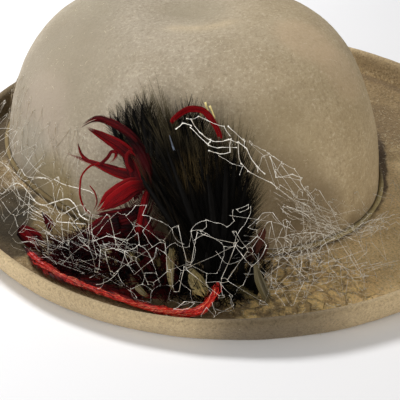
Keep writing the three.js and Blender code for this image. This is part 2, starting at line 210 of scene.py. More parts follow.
# Strands as closed thin tubes: lines is strand by step by xyz, radii strand by step.
def tubes(lines, radii, sides=3):
    count, steps, _ = lines.shape
    along = unit(np.gradient(lines, axis=1))
    mean = unit(along.mean(1))
    helper = np.where(np.abs(mean[:, 2:]) < 0.8, [[0.0, 0.0, 1.0]], [[1.0, 0.0, 0.0]])[:, None]
    across = unit(np.cross(along, helper))
    lift = np.cross(across, along)
    turn = roundTurns(sides)[None, None, :, None]
    ring = np.cos(turn) * across[:, :, None] + np.sin(turn) * lift[:, :, None]
    points = (lines[:, :, None] + radii[:, :, None, None] * ring).reshape(-1, 3)
    one = splitQuads(gridFaces(steps, sides, True))
    caps = [[0, k + 1, k] for k in range(1, sides - 1)]
    last = (steps - 1) * sides
    caps += [[last, last + k, last + k + 1] for k in range(1, sides - 1)]
    one = np.concatenate([one[:, ::-1], np.array(caps)[:, ::-1]])
    faces = (np.arange(count)[:, None, None] * steps * sides + one[None]).reshape(-1, 3)
    return points, faces


# A thin vane along a line, arched across its width, its face turned to the given side.
def vane(line, face, widths, camber, thick, columns):
    along = unit(np.gradient(line, axis=0))
    across = unit(np.cross(along, face))
    front = np.cross(across, along)
    u = np.linspace(-1, 1, columns + 1)
    half = (widths / 2)[:, None, None]
    arch = (camber[:, None] * (1 - u**2)[None])[:, :, None]
    top = line[:, None] + half * u[None, :, None] * across[:, None] + arch * front[:, None]
    low = top - thick * front[:, None]
    ring = np.concatenate([top, low[:, ::-1]], 1)
    count = 2 * (columns + 1)
    faces = splitQuads(gridFaces(len(line), count, True))[:, ::-1]
    ends = []
    for start, flip in ((0, 1), ((len(line) - 1) * count, -1)):
        quads = np.array([[k, k + 1, count - 2 - k, count - 1 - k] for k in range(columns)]) + start
        ends.append(splitQuads(quads)[:, ::flip])
    shades = {
        "along": np.repeat(np.linspace(0, 1, len(line)), count),
        "across": np.tile(np.concatenate([u, u[::-1]]), len(line)),
    }
    return ring.reshape(-1, 3), np.concatenate([faces, *ends]), shades


# Joins parts of points, faces and shades into one.
def joined(parts):
    points, faces, shades, start = [], [], {}, 0
    for p, f, s in parts:
        points.append(p)
        faces.append(f + start)
        for name, values in s.items():
            shades.setdefault(name, []).append(np.broadcast_to(values, len(p)))
        start += len(p)
    return np.concatenate(points), np.concatenate(faces), {k: np.concatenate(v) for k, v in shades.items()}


# made is a piece's points, faces and shades; the nodes are those that it stands for
def addPiece(name, made, material, slot, *nodes):
    points, faces, shades = made
    mesh = bpy.data.meshes.new(name)
    mesh.vertices.add(len(points))
    mesh.vertices.foreach_set("co", (np.asarray(points) * mm).astype(np.float32).ravel())
    mesh.loops.add(faces.size)
    mesh.loops.foreach_set("vertex_index", faces.astype(np.int32).ravel())
    mesh.polygons.add(len(faces))
    mesh.polygons.foreach_set("loop_start", np.arange(0, faces.size, faces.shape[1], dtype=np.int32))
    mesh.update(calc_edges=True)
    mesh.validate()
    mesh.shade_smooth()
    for shadeName, values in shades.items():
        attribute = mesh.attributes.new(shadeName, "FLOAT", "POINT")
        attribute.data.foreach_set("value", values.astype(np.float32))
    mesh.materials.append(material)
    piece = bpy.data.objects.new(name, mesh)
    bpy.context.scene.collection.objects.link(piece)
    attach(piece, "root")
    if nodes:
        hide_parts(*nodes)
    print(name, "made with", len(mesh.polygons), "faces")


# shader work

# a colour given as it looks on a screen, 0 to 255
def shade(*levels):
    def light(level):
        share = level / 255
        return share / 12.92 if level < 10.3 else ((share + 0.055) / 1.055) ** 2.4

    return (*map(light, levels), 1)


class Wire:  # a socket; arithmetic on it adds Math nodes
    def __init__(self, paint, socket):
        self.paint = paint
        self.socket = socket

    def maths(self, operation, first, second):
        return self.paint.add("ShaderNodeMath", {"operation": operation}, {0: first, 1: second})

    def __add__(self, other):
        return self.maths("ADD", self, other)

    def __radd__(self, other):
        return self.maths("ADD", other, self)

    def __sub__(self, other):
        return self.maths("SUBTRACT", self, other)

    def __rsub__(self, other):
        return self.maths("SUBTRACT", other, self)

    def __mul__(self, other):
        return self.maths("MULTIPLY", self, other)

    def __rmul__(self, other):
        return self.maths("MULTIPLY", other, self)

    def __pow__(self, other):
        return self.maths("POWER", self, other)


class Paint:
    def __init__(self, name):
        self.material = bpy.data.materials.new(name)
        self.material.use_nodes = True
        self.tree = self.material.node_tree
        self.tree.nodes.clear()
        self.where = self.add("ShaderNodeTexCoord", out="Object")

    def add(self, kind, settings=None, values=None, out=0):
        node = self.tree.nodes.new(kind)
        for name, value in (settings or {}).items():
            setattr(node, name, value)
        for name, value in (values or {}).items():
            if isinstance(value, Wire):
                self.tree.links.new(value.socket, node.inputs[name])
            else:
                node.inputs[name].default_value = value
        return Wire(self, node.outputs[out]) if len(node.outputs) else None

    def noise(self, size, detail=3, rough=0.55, stretch=None):
        where = self.where
        if stretch:
            where = self.add("ShaderNodeVectorMath", {"operation": "MULTIPLY"}, {0: where, 1: stretch})
        values = {"Vector": where, "Scale": 1 / (size * mm), "Detail": detail, "Roughness": rough}
        return self.add("ShaderNodeTexNoise", {}, values)

    def step(self, value, low, high):
        values = {"Value": value, "From Min": low, "From Max": high}
        return self.add("ShaderNodeMapRange", {"interpolation_type": "SMOOTHSTEP"}, values)

    def mix(self, first, second, share, blend="MIX"):
        settings = {"data_type": "RGBA", "blend_type": blend, "clamp_factor": True}
        return self.add("ShaderNodeMix", settings, {0: share, 6: first, 7: second}, 2)

    # a place on the hat along X, Y or Z, in millimetres
    def axis(self, name):
        return self.add("ShaderNodeSeparateXYZ", {}, {0: self.where}, name) * 1000

    # the square of the way out from a centre to an oval, 1 on the oval
    def oval(self, centre, halfWidth, halfLength):
        across = (self.axis("X") - centre[0]) * (1 / halfWidth)
        along = (self.axis("Y") - centre[1]) * (1 / halfLength)
        return across ** 2 + along ** 2

    def attribute(self, name):
        return self.add("ShaderNodeAttribute", {"attribute_name": name}, {}, "Fac")

    # 1 about a place on the hat, falling to 0 at a distance, in millimetres
    def patch(self, middle, reach, core=0.35):
        values = {0: self.where, 1: tuple(c * mm for c in middle)}
        length = self.add("ShaderNodeVectorMath", {"operation": "DISTANCE"}, values, "Value")
        return 1 - self.step(length, reach * mm * core, reach * mm)

    def bump(self, height, depth, strength):
        values = {"Height": height, "Distance": depth * mm, "Strength": strength}
        return self.add("ShaderNodeBump", {}, values)

    def surface(self, values):
        shader = self.add("ShaderNodeBsdfPrincipled", {}, values)
        self.add("ShaderNodeOutputMaterial", {}, {"Surface": shader})
        return self.material


# camera, floor and light

view = {
    "target": (-7, 23, 0),
    "azimuth": -49,
    "elevation": 30.79,
    "roll": 2,
    "distance": 708.2,
    "focalPixels": 1381.6,  # for a picture 400 wide
    "targetPixel": (189.6, 163),
    "pictureSize": 400,
    "sensor": 36,
}


def setCamera():
    a, e, r = (math.radians(view[k]) for k in ("azimuth", "elevation", "roll"))
    back = Vector((math.sin(a) * math.cos(e), -math.cos(a) * math.cos(e), math.sin(e)))
    level = Vector((math.cos(a), math.sin(a), 0))
    up = back.cross(level)
    right = level * math.cos(r) + up * math.sin(r)
    up = up * math.cos(r) - level * math.sin(r)
    half = view["pictureSize"] / 2
    aside = (half - view["targetPixel"][0]) * right - (half - view["targetPixel"][1]) * up
    spot = (Vector(view["target"]) + back * view["distance"]) * mm
    back = -(aside - back * view["focalPixels"]).normalized()
    right = up.cross(back).normalized()
    up = back.cross(right)
    camera = bpy.data.objects.new("camera", bpy.data.cameras.new("camera"))
    turn = Matrix((right, up, back)).transposed().to_4x4()
    camera.matrix_world = Matrix.Translation(spot) @ turn
    camera.data.sensor_width = view["sensor"]
    camera.data.lens = view["focalPixels"] / view["pictureSize"] * view["sensor"]
    bpy.context.scene.collection.objects.link(camera)
    bpy.context.scene.camera = camera


studio = {
    "floorSize": 6000,
    "worldStrength": 0.24,
    "worldColour": (1, 0.99, 0.97, 1),
    "floorTones": [shade(243, 244, 247), shade(239, 240, 243)],
    "lamps": [  # name, to the right, towards the camera, height, size, watts, colour
        ("key", -540, 540, 150, 400, 3.1, (1, 0.98, 0.96)),
        ("back", -340, -310, 620, 240, 5.8, (1, 0.99, 0.98)),
        ("fill", 620, 540, 120, 520, 2.95, (1, 0.94, 0.84)),
    ],
}


def setStudio():
    bpy.ops.mesh.primitive_plane_add(size=studio["floorSize"] * mm)
    floor = bpy.context.object
    floor.name = "floor"
    paint = Paint("floorPaper")
    tone = paint.mix(*studio["floorTones"], paint.noise(400))
    floor.data.materials.append(paint.surface({"Base Color": tone, "Roughness": 0.9}))
    world = bpy.data.worlds.new("studio")
    world.use_nodes = True
    world.node_tree.nodes["Background"].inputs["Color"].default_value = studio["worldColour"]
    world.node_tree.nodes["Background"].inputs["Strength"].default_value = studio["worldStrength"]
    bpy.context.scene.world = world
    aim = Vector((crownX, crownY, 40)) * mm
    turn = math.radians(view["azimuth"])
    right = Vector((math.cos(turn), math.sin(turn), 0))
    nearer = Vector((math.sin(turn), -math.cos(turn), 0))
    for name, toRight, toCamera, height, size, watts, colour in studio["lamps"]:
        lamp = bpy.data.objects.new(name, bpy.data.lights.new(name, "AREA"))
        lamp.data.shape = "DISK"
        lamp.data.size = size * mm
        lamp.data.energy = watts
        lamp.data.color = colour
        lamp.location = aim + (right * toRight + nearer * toCamera + Vector((0, 0, height))) * mm
        lamp.rotation_euler = (aim - lamp.location).to_track_quat("-Z", "Y").to_euler()
        bpy.context.scene.collection.objects.link(lamp)
    bpy.context.scene.view_settings.view_transform = "Standard"
    bpy.context.scene.view_settings.look = "None"


setCamera()
setStudio()
print("camera, floor and lamps set")


# felt

crownFelt = {
    "stations": 300,
    "rings": 110,
    "innerRings": 40,
    "unevenSize": 26,
    "unevenDepth": 0.5,
    "grainSize": 5,
    "grainDepth": 0.12,
    "greyTones": [shade(169, 158, 140), shade(157, 146, 127), shade(177, 167, 149), shade(132, 121, 103)],
    "warmTones": [shade(179, 161, 129), shade(165, 147, 115), shade(188, 170, 138), shade(140, 122, 91)],
    # warm towards this side: partly the felt's own yellowing, partly painted warm light from that side
    "warmLitSide": (0.66, -0.75, 60),  # towards +X and -Y, and how far the change takes
    "marksAndPaintedLight": [  # bearing, height, radius, colour, share
        # painted shade: the upper left of the crown made darker
        (139, 76, 34, shade(146, 138, 118), 0.5),
        (123, 62, 48, shade(138, 128, 111), 0.62),
        (105, 70, 40, shade(146, 136, 116), 0.5),
        # painted shade in the hollow of the top
        (71, 93, 24, shade(150, 140, 118), 0.5),
        # painted highlight on the right shoulder
        (-11, 90, 24, shade(200, 174, 142), 0.45),
        (-12, 76, 22, shade(200, 174, 142), 0.35),
        (113, 45, 30, shade(178, 163, 148), 0.4),
        (114, 24, 24, shade(150, 145, 130), 0.5),
        (100, 13, 26, shade(140, 125, 88), 0.7),
        (25, 56, 34, shade(158, 141, 108), 0.4),
        # painted shadow under the net, partly dirt
        (23, 36, 30, shade(126, 109, 84), 0.55),
        (14, 22, 26, shade(112, 96, 72), 0.6),
        (95, 12, 16, shade(150, 132, 92), 0.6),
    ],
    "creaseRadius": 27,
    "creaseWidth": 4,
    "creaseHeight": 0.6,
    "creaseBearing": 40,
    "creaseFade": (0.7, 0.25),  # cosine of the angle off its bearing where it starts, and the span
    "creaseHighlight": shade(204, 184, 150),
    "footTone": shade(126, 107, 80),
    "lint": shade(224, 212, 190),
}
brimFelt = {
    "stations": 320,
    "unevenSize": 20,
    "unevenDepth": 0.45,
    "grainSize": 4,
    "grainDepth": 0.15,
    "tones": [shade(170, 146, 106), shade(146, 124, 88), shade(188, 164, 122), shade(104, 84, 58)],
    "rimTone": shade(204, 183, 146),
    # colour of the painted shade on the rim's front
    "rimDark": shade(70, 60, 47),
    "rimShades": [  # painted shade: bearing and how dark, along the front of the rim
        (-12, 0), (0, 0.06), (8, 0.1), (15, 0.12), (18, 0.18), (21, 0.3), (24, 0.5), (27.5, 0.69),
        (31, 0.78), (35, 0.84), (39, 0.84), (42, 0.76), (44, 0.57), (46, 0.4), (49, 0.2), (66, 0.17),
        (70, 0.2), (78, 0.06), (84, 0),
    ],
    "speckleSize": 1.1,
    "speckleTones": [(1.22, 1.22, 1.22, 1), (0.64, 0.63, 0.62, 1)],
    "rimSection": [  # inset, height and share of the rim's height
        (5.6, 0, 0), (4, 0.6, 0), (2.6, 2.6, 0), (1, 0, 0.5), (0.1, -3, 1), (0.1, -1.2, 1), (0.9, 0, 1),
        (2.2, 0.3, 1), (3.5, -0.2, 1), (4.3, -1.5, 1), (4.7, -3.2, 1), (5.3, 0, 0.5), (6, 4.2, 0),
        (7.6, 2.6, 0),
    ],
    "flatRings": 9,
    "roundings": 2,
    "smoothBelow": 0.4,  # where it rests
    "lint": shade(224, 208, 176),
    "grooveShadeTone": shade(82, 66, 55),
    "grooveWidth": 0.015,
    "grooveFade": 0.07,
    "plainGroove": ((92, 4, 4), 70),  # place and radius where the groove's painted shade is left out
    "stainsAndPaintedLight": [  # bearing, out, radius, colour, share
        (28, 40, 30, shade(132, 106, 66), 0.3),
        # painted light: paler where the crown's shadow falls on the brim
        (8, 27, 34, shade(236, 206, 152), 0.75),
        (93, 12, 28, shade(120, 103, 70), 0.8),
        (33, 22, 17, shade(92, 78, 54), 0.35),
        (25, 32, 16, shade(196, 166, 112), 0.5),
        (19, 17, 12, shade(108, 90, 60), 0.3),
        # painted light: paler where the crown's shadow falls on the brim
        (-8, 22, 44, shade(228, 200, 150), 0.75),
        (-28, 12, 34, shade(240, 212, 164), 0.75),
        (48, 44, 30, shade(104, 84, 54), 0.6),
        # painted shade on the far left of the brim, where the rim and crown shade it
        (108, 18, 22, shade(50, 46, 38), 0.85),
        (101, 24, 17, shade(50, 46, 38), 0.8),
        (94, 34, 18, shade(54, 48, 38), 0.8),
        (97, 26, 14, shade(60, 52, 40), 0.7),
        (140, 20, 36, shade(84, 76, 62), 0.7),
        # painted shadow of the crown on the brim beyond its right side
        (-62, 26, 34, shade(122, 102, 75), 0.6),
        (16, 30, 24, shade(224, 188, 130), 0.65),
    ],
    "band": [  # bearing, out and how dark, along a painted shadow of the crown on the brim
        (-66, 26, 0), (-60, 19.5, 0.35), (-54, 14, 0.65), (-48, 9.8, 0.85), (-42, 6.4, 0.95),
        (-36, 4, 0.95), (-30, 2.5, 0.9), (-23, 2.2, 0.8), (-17, 2, 0.6), (-8, 2, 0),
    ],
    "crownShadowWidths": (0.6, 4.6),  # of its core, and over all, to each side
    "crownShadowTone": shade(66, 51, 43),
    "glue": {  # dried glue on the front, cracked into flakes
        "spot": (25, 4, 33),
        "radius": 46,
        "ends": (0.76, 0.86),  # on the way out to the rim, squared
        "flakeSize": 8,
        "waviness": 13,
        "wavesPerMetre": 120,
        "crackWidth": 0.15,
        # pale flecks: partly the glue's own colour, partly painted highlight
        "pale": shade(244, 210, 142),
        "dark": shade(70, 58, 36),
    },
    "rimStainsAndShade": [
        # painted shade on the far left of the rim and brim
        (120, 50, 60, shade(84, 72, 55), 0.75),
        (156, 12, 50, shade(76, 65, 50), 0.75),
        (-80, 54, 40, shade(126, 105, 76), 0.3),
    ],
}
weltFelt = {
    "radius": 1.2,
    "sides": 12,
    "stations": 320,
    "unevenSize": 5,
    "unevenDepth": 0.2,
    "tones": [shade(176, 162, 118), shade(152, 138, 98), shade(190, 176, 132), shade(120, 106, 74)],
    "lint": shade(214, 202, 160),
    "dull": shade(136, 119, 84),
    "palePatch": ((-10, 6, 2), 55),  # place and radius where it keeps its paler tones
    "seam": 0.03,
    "paintedShadePatches": [  # painted shade: place, radius, colour
        ((-42, 8, 1), 36, shade(70, 55, 45)),
        ((100, 8, 1), 64, shade(108, 93, 63)),
    ],
    "rest": 0.2,  # above the brim
}


# paler and darker drifts of wool, a fine grain, and pale lint
def woolTone(paint, tones, lintTone, lintShare, mottle=1):
    first, second, third, dark = tones
    tone = paint.mix(first, second, 0.8 * paint.step(paint.noise(34, 2), 0.38, 0.66))
    tone = paint.mix(tone, third, 0.5 * paint.step(paint.noise(13, 3), 0.5, 0.72))
    tone = paint.mix(tone, dark, 0.4 * mottle * paint.step(paint.noise(4.5, 5, 0.75), 0.5, 0.7))
    grain = paint.noise(1.4, 4, 0.75)
    tone = paint.mix(tone, lintTone, 0.4 * mottle * paint.step(grain, 0.52, 0.7))
    tone = paint.mix(tone, dark, 0.65 * mottle * paint.step(1 - grain, 0.5, 0.7))
    lint = paint.noise(2.6, 5, 0.75, (1, 1, 1.6))
    return paint.mix(tone, lintTone, lintShare * paint.step(lint, 0.62, 0.72)), grain


def feltSurface(paint, tone, grain, depth=0.8, relief=0, gloss=0):
    height = grain * 0.7 + 0.3 * paint.noise(0.45, 2) + relief
    values = {
        "Coat Weight": gloss,
        "Coat Roughness": 0.25,
        "Base Color": tone,
        "Roughness": 0.95,
        "Specular IOR Level": 0.12,
        "Sheen Weight": 0.12,
        "Sheen Roughness": 0.45,
        "Sheen Tint": (1, 0.96, 0.9, 1),
        "Normal": paint.bump(height, depth, 0.85),
    }
    return paint.surface(values)


# the crown is greyer on the trimmed side and warmer towards the front, partly yellowed felt and partly
# painted warm light;
# its marks and crease carry painted shade and highlights, and it is darker in patches low down
def crownPaint():
    paint = Paint("crownFelt")
    grey, grain = woolTone(paint, crownFelt["greyTones"], crownFelt["lint"], 0.35)
    warm, _ = woolTone(paint, crownFelt["warmTones"], crownFelt["lint"], 0.35)
    # grey to warm across the crown, partly painted warm light
    towardsX, towardsY, reach = crownFelt["warmLitSide"]
    side = paint.axis("X") * towardsX + paint.axis("Y") * towardsY + 40 * paint.noise(40, 2)
    tone = paint.mix(grey, warm, paint.step(side, 20 - reach, 20 + reach))
    # marks in the felt's own tone, with painted shade and highlights among them
    for bearing, height, radius, colour, share in crownFelt["marksAndPaintedLight"]:
        edge = paint.patch(place(bearing, height, 0), radius) + 0.4 * paint.noise(8, 4) - 0.2
        tone = paint.mix(tone, colour, share * paint.step(edge, 0, 1))
    # painted highlight along the crease round the hollow tip
    ridgeHighlight = paint.attribute("crease") * (0.1 + 0.6 * paint.noise(5, 4))
    tone = paint.mix(tone, crownFelt["creaseHighlight"], ridgeHighlight)
    # darker in patches low on the crown
    lowDarkening = (1 - paint.step(paint.axis("Z"), 5, 24)) * paint.step(paint.noise(16, 3), 0.42, 0.7)
    return feltSurface(paint, paint.mix(tone, crownFelt["footTone"], 0.45 * lowDarkening), grain)


# patches of stain, and of painted light and shade, with ragged edges
def stainedWithPaintedLight(paint, tone, stainsAndPaintedLight, ragged):
    for bearing, out, radius, colour, share in stainsAndPaintedLight:
        spot = place(bearing, form["brimFelt"], out)
        edge = paint.step(paint.patch(spot, radius) + ragged * (paint.noise(9, 4) - 0.5), 0.1, 0.8)
        tone = paint.mix(tone, colour, share * edge)
    return tone


# where dried glue lies on the brim, and where it has cracked
def glueFlakes(paint):
    glue = brimFelt["glue"]
    near = paint.patch(place(*glue["spot"]), glue["radius"])
    share = paint.step(near + 0.9 * (paint.noise(11, 4) - 0.5), 0.15, 0.6)
    values = {"Vector": paint.where, "Scale": glue["wavesPerMetre"], "Detail": 3}
    push = paint.add("ShaderNodeTexNoise", {}, values, "Color")
    values = {0: push, 1: (glue["waviness"] * mm,) * 3, 2: paint.where}
    where = paint.add("ShaderNodeVectorMath", {"operation": "MULTIPLY_ADD"}, values)
    values = {"Vector": where, "Scale": 1 / (glue["flakeSize"] * mm)}
    off = paint.add("ShaderNodeTexVoronoi", {"feature": "DISTANCE_TO_EDGE"}, values)
    return share, 1 - paint.step(off, 0, glue["crackWidth"])


# the brim is stained, with painted shade, partly dirt, in the groove beside the crown, and painted shade in
# the gutter, in the crown's shadow, on the rim's front and on the far left; painted light on its front and
# right, and paler on its rim
def brimPaint():
    paint = Paint("brimFelt")
    tone, grain = woolTone(paint, brimFelt["tones"], brimFelt["lint"], 0.6, 1.4)
    tone = stainedWithPaintedLight(paint, tone, brimFelt["stainsAndPaintedLight"], 0.9)
    toCrown = paint.oval(form["crownCentre"], form["crownHalfWidth"], form["crownHalfLength"])
    toRim = paint.oval((0, 0), form["brimHalfWidth"], form["brimHalfLength"])
    glue = brimFelt["glue"]
    glued, cracks = glueFlakes(paint)
    glued = glued * (1 - paint.step(toRim, *glue["ends"]))
    # pale flecks on the glue, partly painted highlight
    tone = paint.mix(tone, glue["pale"], 0.85 * glued * paint.step(paint.noise(4, 4), 0.42, 0.62))
    dirty = paint.step(paint.noise(6, 3), 0.38, 0.62)
    tone = paint.mix(tone, glue["dark"], 0.5 * glued * cracks * dirty)
    # painted shade, partly dirt, in the groove beside the crown
    edge = 1 + brimFelt["grooveWidth"]
    groove = 1 - paint.step(toCrown + 0.1 * (paint.noise(7, 3) - 0.5), edge, edge + brimFelt["grooveFade"])
    where, radius = brimFelt["plainGroove"]
    groove = groove * (1 - paint.patch(place(*where), radius))
    tone = paint.mix(tone, brimFelt["grooveShadeTone"], 0.8 * groove)
    # painted shadow along the gutter inside the rim
    gutter = paint.step(toRim, 0.8, 0.87) * (1 - paint.step(toRim, 0.885, 0.91))
    tone = paint.mix(tone, brimFelt["grooveShadeTone"], 0.5 * gutter)
    rim = paint.step(toRim, 0.9, 0.955)
    tone = paint.mix(tone, brimFelt["rimTone"], 0.75 * rim)
    # painted shade on the rim's front, where it faces away from the light
    tone = paint.mix(tone, brimFelt["rimDark"], rim * paint.attribute("paintedRimShade"))
    # band: the painted shadow of the crown on the brim, given ragged edges
    band = paint.step(paint.attribute("band") + 0.9 * (paint.noise(5, 3) - 0.5), 0.25, 0.8)
    tone = paint.mix(tone, brimFelt["crownShadowTone"], 0.85 * band)
    tone = stainedWithPaintedLight(paint, tone, brimFelt["rimStainsAndShade"], 0.35)
    speckle = paint.noise(brimFelt["speckleSize"], 3, 0.8)
    paler, darker = brimFelt["speckleTones"]
    tone = paint.mix(tone, paler, paint.step(speckle, 0.5, 0.68), "MULTIPLY")
    tone = paint.mix(tone, darker, paint.step(1 - speckle, 0.5, 0.68), "MULTIPLY")
    return feltSurface(paint, tone, grain, 1.3, -0.9 * glued * cracks, 0.35 * glued)


def weltPaint():
    paint = Paint("weltFelt")
    tone, grain = woolTone(paint, weltFelt["tones"], weltFelt["lint"], 0.4)
    where, radius = weltFelt["palePatch"]
    tone = paint.mix(weltFelt["dull"], tone, paint.patch(place(*where), radius))
    # painted shade: the crown's shadow on the welt at the right, and darker over its lit top at the left
    for where, radius, dark in weltFelt["paintedShadePatches"]:
        tone = paint.mix(tone, dark, 0.85 * paint.patch(place(*where), radius))
    return feltSurface(paint, tone, grain)


def feltPoints(points, finish, seed):
    uneven = finish["unevenDepth"] * ripple(points, finish["unevenSize"], seed)
    return uneven + finish["grainDepth"] * ripple(points, finish["grainSize"], seed + 1)


def domePoints(turn, quarter, inset):
    share = np.sin(quarter) ** (2 / form["crownShoulder"])
    reach = (1 - form["crownTaper"] * share) * np.cos(quarter) ** (2 / form["crownRoundness"])
    halfWidth = form["crownHalfWidth"] - inset
    halfLength = form["crownHalfLength"] - inset
    footX = crownX - form["crownHalfWidth"] * np.sin(turn)
    footY = crownY - form["crownHalfLength"] * np.cos(turn)
    floor = brimTop(footX, footY) + form["seamGap"]
    top = (form["crownHeight"] - inset) * (1 + form["crownFrontRise"] * reach * np.cos(turn))
    x = crownX - halfWidth * reach * np.sin(turn)
    y = crownY - halfLength * reach * np.cos(turn)
    return np.stack(np.broadcast_arrays(x, y, between(floor, top, share)), -1)


def dented(points):
    depth = np.zeros(points.shape[:-1])
    for bearing, share, radius, deep in form["dents"]:
        quarter = math.asin(share ** (form["crownShoulder"] / 2))
        middle = domePoints(np.radians(bearing), quarter, 0)
        depth += deep * np.exp(-((np.linalg.norm(points - middle, axis=-1) / radius) ** 2))
    aim = np.array([crownX, crownY, form["dentAimHeight"]])
    return points + unit(aim - points) * depth[..., None]


# 1 along the crease round the hollow tip, on the trimmed side
def crease(points):
    tip = domePoints(0.0, np.pi / 2, 0)
    off = points - tip
    across = (np.linalg.norm(off, axis=-1) - crownFelt["creaseRadius"]) / crownFelt["creaseWidth"]
    turn = math.radians(crownFelt["creaseBearing"])
    facing = unit(off[..., :2]) @ -np.array([math.sin(turn), math.cos(turn)])
    start, over = crownFelt["creaseFade"]
    return np.exp(-across**2) * ease((facing - start) / over)


def evenQuarters(count):
    fine = np.linspace(0, np.pi / 2, 2000)
    line = domePoints(0.0, fine, 0)
    length = np.concatenate([[0], np.cumsum(np.linalg.norm(np.diff(line, axis=0), axis=1))])
    return np.interp(np.linspace(0, 1, count + 1)[:-1], length / length[-1], fine)


# Rings from the outer tip down to the foot and up the inside, closed by a fan of triangles at each tip.
def makeCrown():
    count = crownFelt["stations"]
    turn = roundTurns(count)[None]
    outer = dented(domePoints(turn, evenQuarters(crownFelt["rings"])[::-1, None], 0))
    inner = dented(domePoints(turn, evenQuarters(crownFelt["innerRings"])[:, None], form["crownWall"]))
    aim = np.array([crownX, crownY, form["dentAimHeight"]])
    flat = outer.reshape(-1, 3)
    lift = feltPoints(flat, crownFelt, 3) + crownFelt["creaseHeight"] * crease(flat)
    outer = (flat + unit(flat - aim) * lift[:, None]).reshape(outer.shape)
    rings = np.concatenate([outer, inner])
    points = rings.reshape(-1, 3)
    poles = np.stack([rings[0].mean(0), rings[-1].mean(0)])
    around = np.arange(count)
    after = (around + 1) % count
    last = (len(rings) - 1) * count
    top = np.stack([np.full(count, len(points)), after, around], -1)
    under = np.stack([np.full(count, len(points) + 1), last + around, last + after], -1)
    faces = np.concatenate([splitQuads(gridFaces(len(rings), count, True)), top, under])[:, ::-1]
    return np.concatenate([points, poles]), faces, gridFaces(len(outer), count, True)


# softens a closed section by cutting its corners
def roundedSection(section, passes):
    for _ in range(passes):
        after = np.roll(section, -1, axis=1)
        section = np.stack([0.75 * section + 0.25 * after, 0.25 * section + 0.75 * after], 2)
        section = section.reshape(len(section), -1, 3)
    return section


def makeBrim():
    turn = roundTurns(brimFelt["stations"])
    height = easedTable(form["rimBearings"], form["rimHeights"], np.degrees(turn))
    rest = form["bendWidth"] + form["restWidth"]

    def ring(centreX, centreY, halfWidth, halfLength):
        return np.stack([centreX - halfWidth * np.sin(turn), centreY - halfLength * np.cos(turn)], -1)

    innerEdge = ring(crownX, crownY, form["crownHalfWidth"] - form["crownWall"],
                     form["crownHalfLength"] - form["crownWall"])
    outerEdge = ring(0, 0, form["brimHalfWidth"] - rest, form["brimHalfLength"] - rest)
    across = [between(innerEdge, outerEdge, share) for share in np.linspace(0, 1, brimFelt["flatRings"])]
    under = [np.column_stack([p, brimLift(p[:, 0], p[:, 1])]) for p in across]
    over = [np.column_stack([p, brimTop(p[:, 0], p[:, 1])]) for p in across[::-1]]
    rim = []
    for inset, up, share in brimFelt["rimSection"]:
        p = ring(0, 0, form["brimHalfWidth"] - inset, form["brimHalfLength"] - inset)
        rim.append(np.column_stack([p, up + share * height]))
    section = roundedSection(np.stack(under + rim + over, 1), brimFelt["roundings"])
    flat = section.reshape(-1, 3)
    middle = np.repeat(section.mean(1), section.shape[1], axis=0)
    lift = feltPoints(flat, brimFelt, 9)[:, None] * (flat[:, 2:] > brimFelt["smoothBelow"])
    moved = flat + unit(flat - middle) * lift
    moved[:, 2] = np.maximum(moved[:, 2], 0)
    return moved, ringFaces(len(turn), section.shape[1])


def paintedRimShade(points):
    bearing = np.degrees(np.arctan2(crownX - points[:, 0], crownY - points[:, 1]))
    return np.interp(bearing, *np.array(brimFelt["rimShades"], float).T)


# how dark the painted shadow of the crown is at each point
def crownShadowAt(points):
    bearing, out, dark = np.array(brimFelt["band"], float).T
    line = smoothLine(np.column_stack([place(bearing, form["brimFelt"] + 0 * out, out)[:, :2], dark]), 80)
    off = np.linalg.norm(points[:, None, :2] - line[None, :, :2], axis=2)
    near = off.argmin(1)
    core, over = brimFelt["crownShadowWidths"]
    return np.clip(line[near, 2], 0, 1) * (1 - ease((off.min(1) - core) / (over - core)))


# the shares of the rim's painted shade and of the crown's painted shadow, at each point
def brimShades(points):
    return {"paintedRimShade": paintedRimShade(points), "band": crownShadowAt(points)}


def makeWelt():
    turn = roundTurns(weltFelt["stations"])
    reach = weltFelt["radius"] + weltFelt["seam"]
    foot = np.stack([crownX - (form["crownHalfWidth"] + reach) * np.sin(turn),
                     crownY - (form["crownHalfLength"] + reach) * np.cos(turn)], -1)
    up = brimTop(foot[:, 0], foot[:, 1]) + weltFelt["radius"] + weltFelt["rest"]
    middle = np.column_stack([foot, up])
    away = awayFromCrown(middle)
    spin = roundTurns(weltFelt["sides"])
    ring = np.cos(spin)[None, :, None] * away[:, None] + np.sin(spin)[None, :, None] * np.array([0, 0, 1.0])
    flat = (middle[:, None] + weltFelt["radius"] * ring).reshape(-1, 3)
    lumps = weltFelt["unevenDepth"] * ripple(flat, weltFelt["unevenSize"], 21)
    return flat + ring.reshape(-1, 3) * lumps[:, None], ringFaces(len(turn), len(spin))


crownPoints, crownFaces, crownQuads = makeCrown()
brimPoints, brimQuads = makeBrim()
weltPoints, weltQuads = makeWelt()
crownMaterial = crownPaint()
brimMaterial = brimPaint()
weltMaterial = weltPaint()
crownShell = crownPoints, crownFaces, {"crease": crease(crownPoints)}
addPiece("crown_felt_shell", crownShell, crownMaterial, "crown_felt", "crown")
brimShell = brimPoints, brimQuads, brimShades(brimPoints)
addPiece("brim_felt_shell", brimShell, brimMaterial, "brim_felt", "brim")
addPiece("welt_roll", (weltPoints, weltQuads, {}), weltMaterial, "welt_felt", "felt_welt")


# lint caught on the brim, and specks of old glue where the trim was stuck down

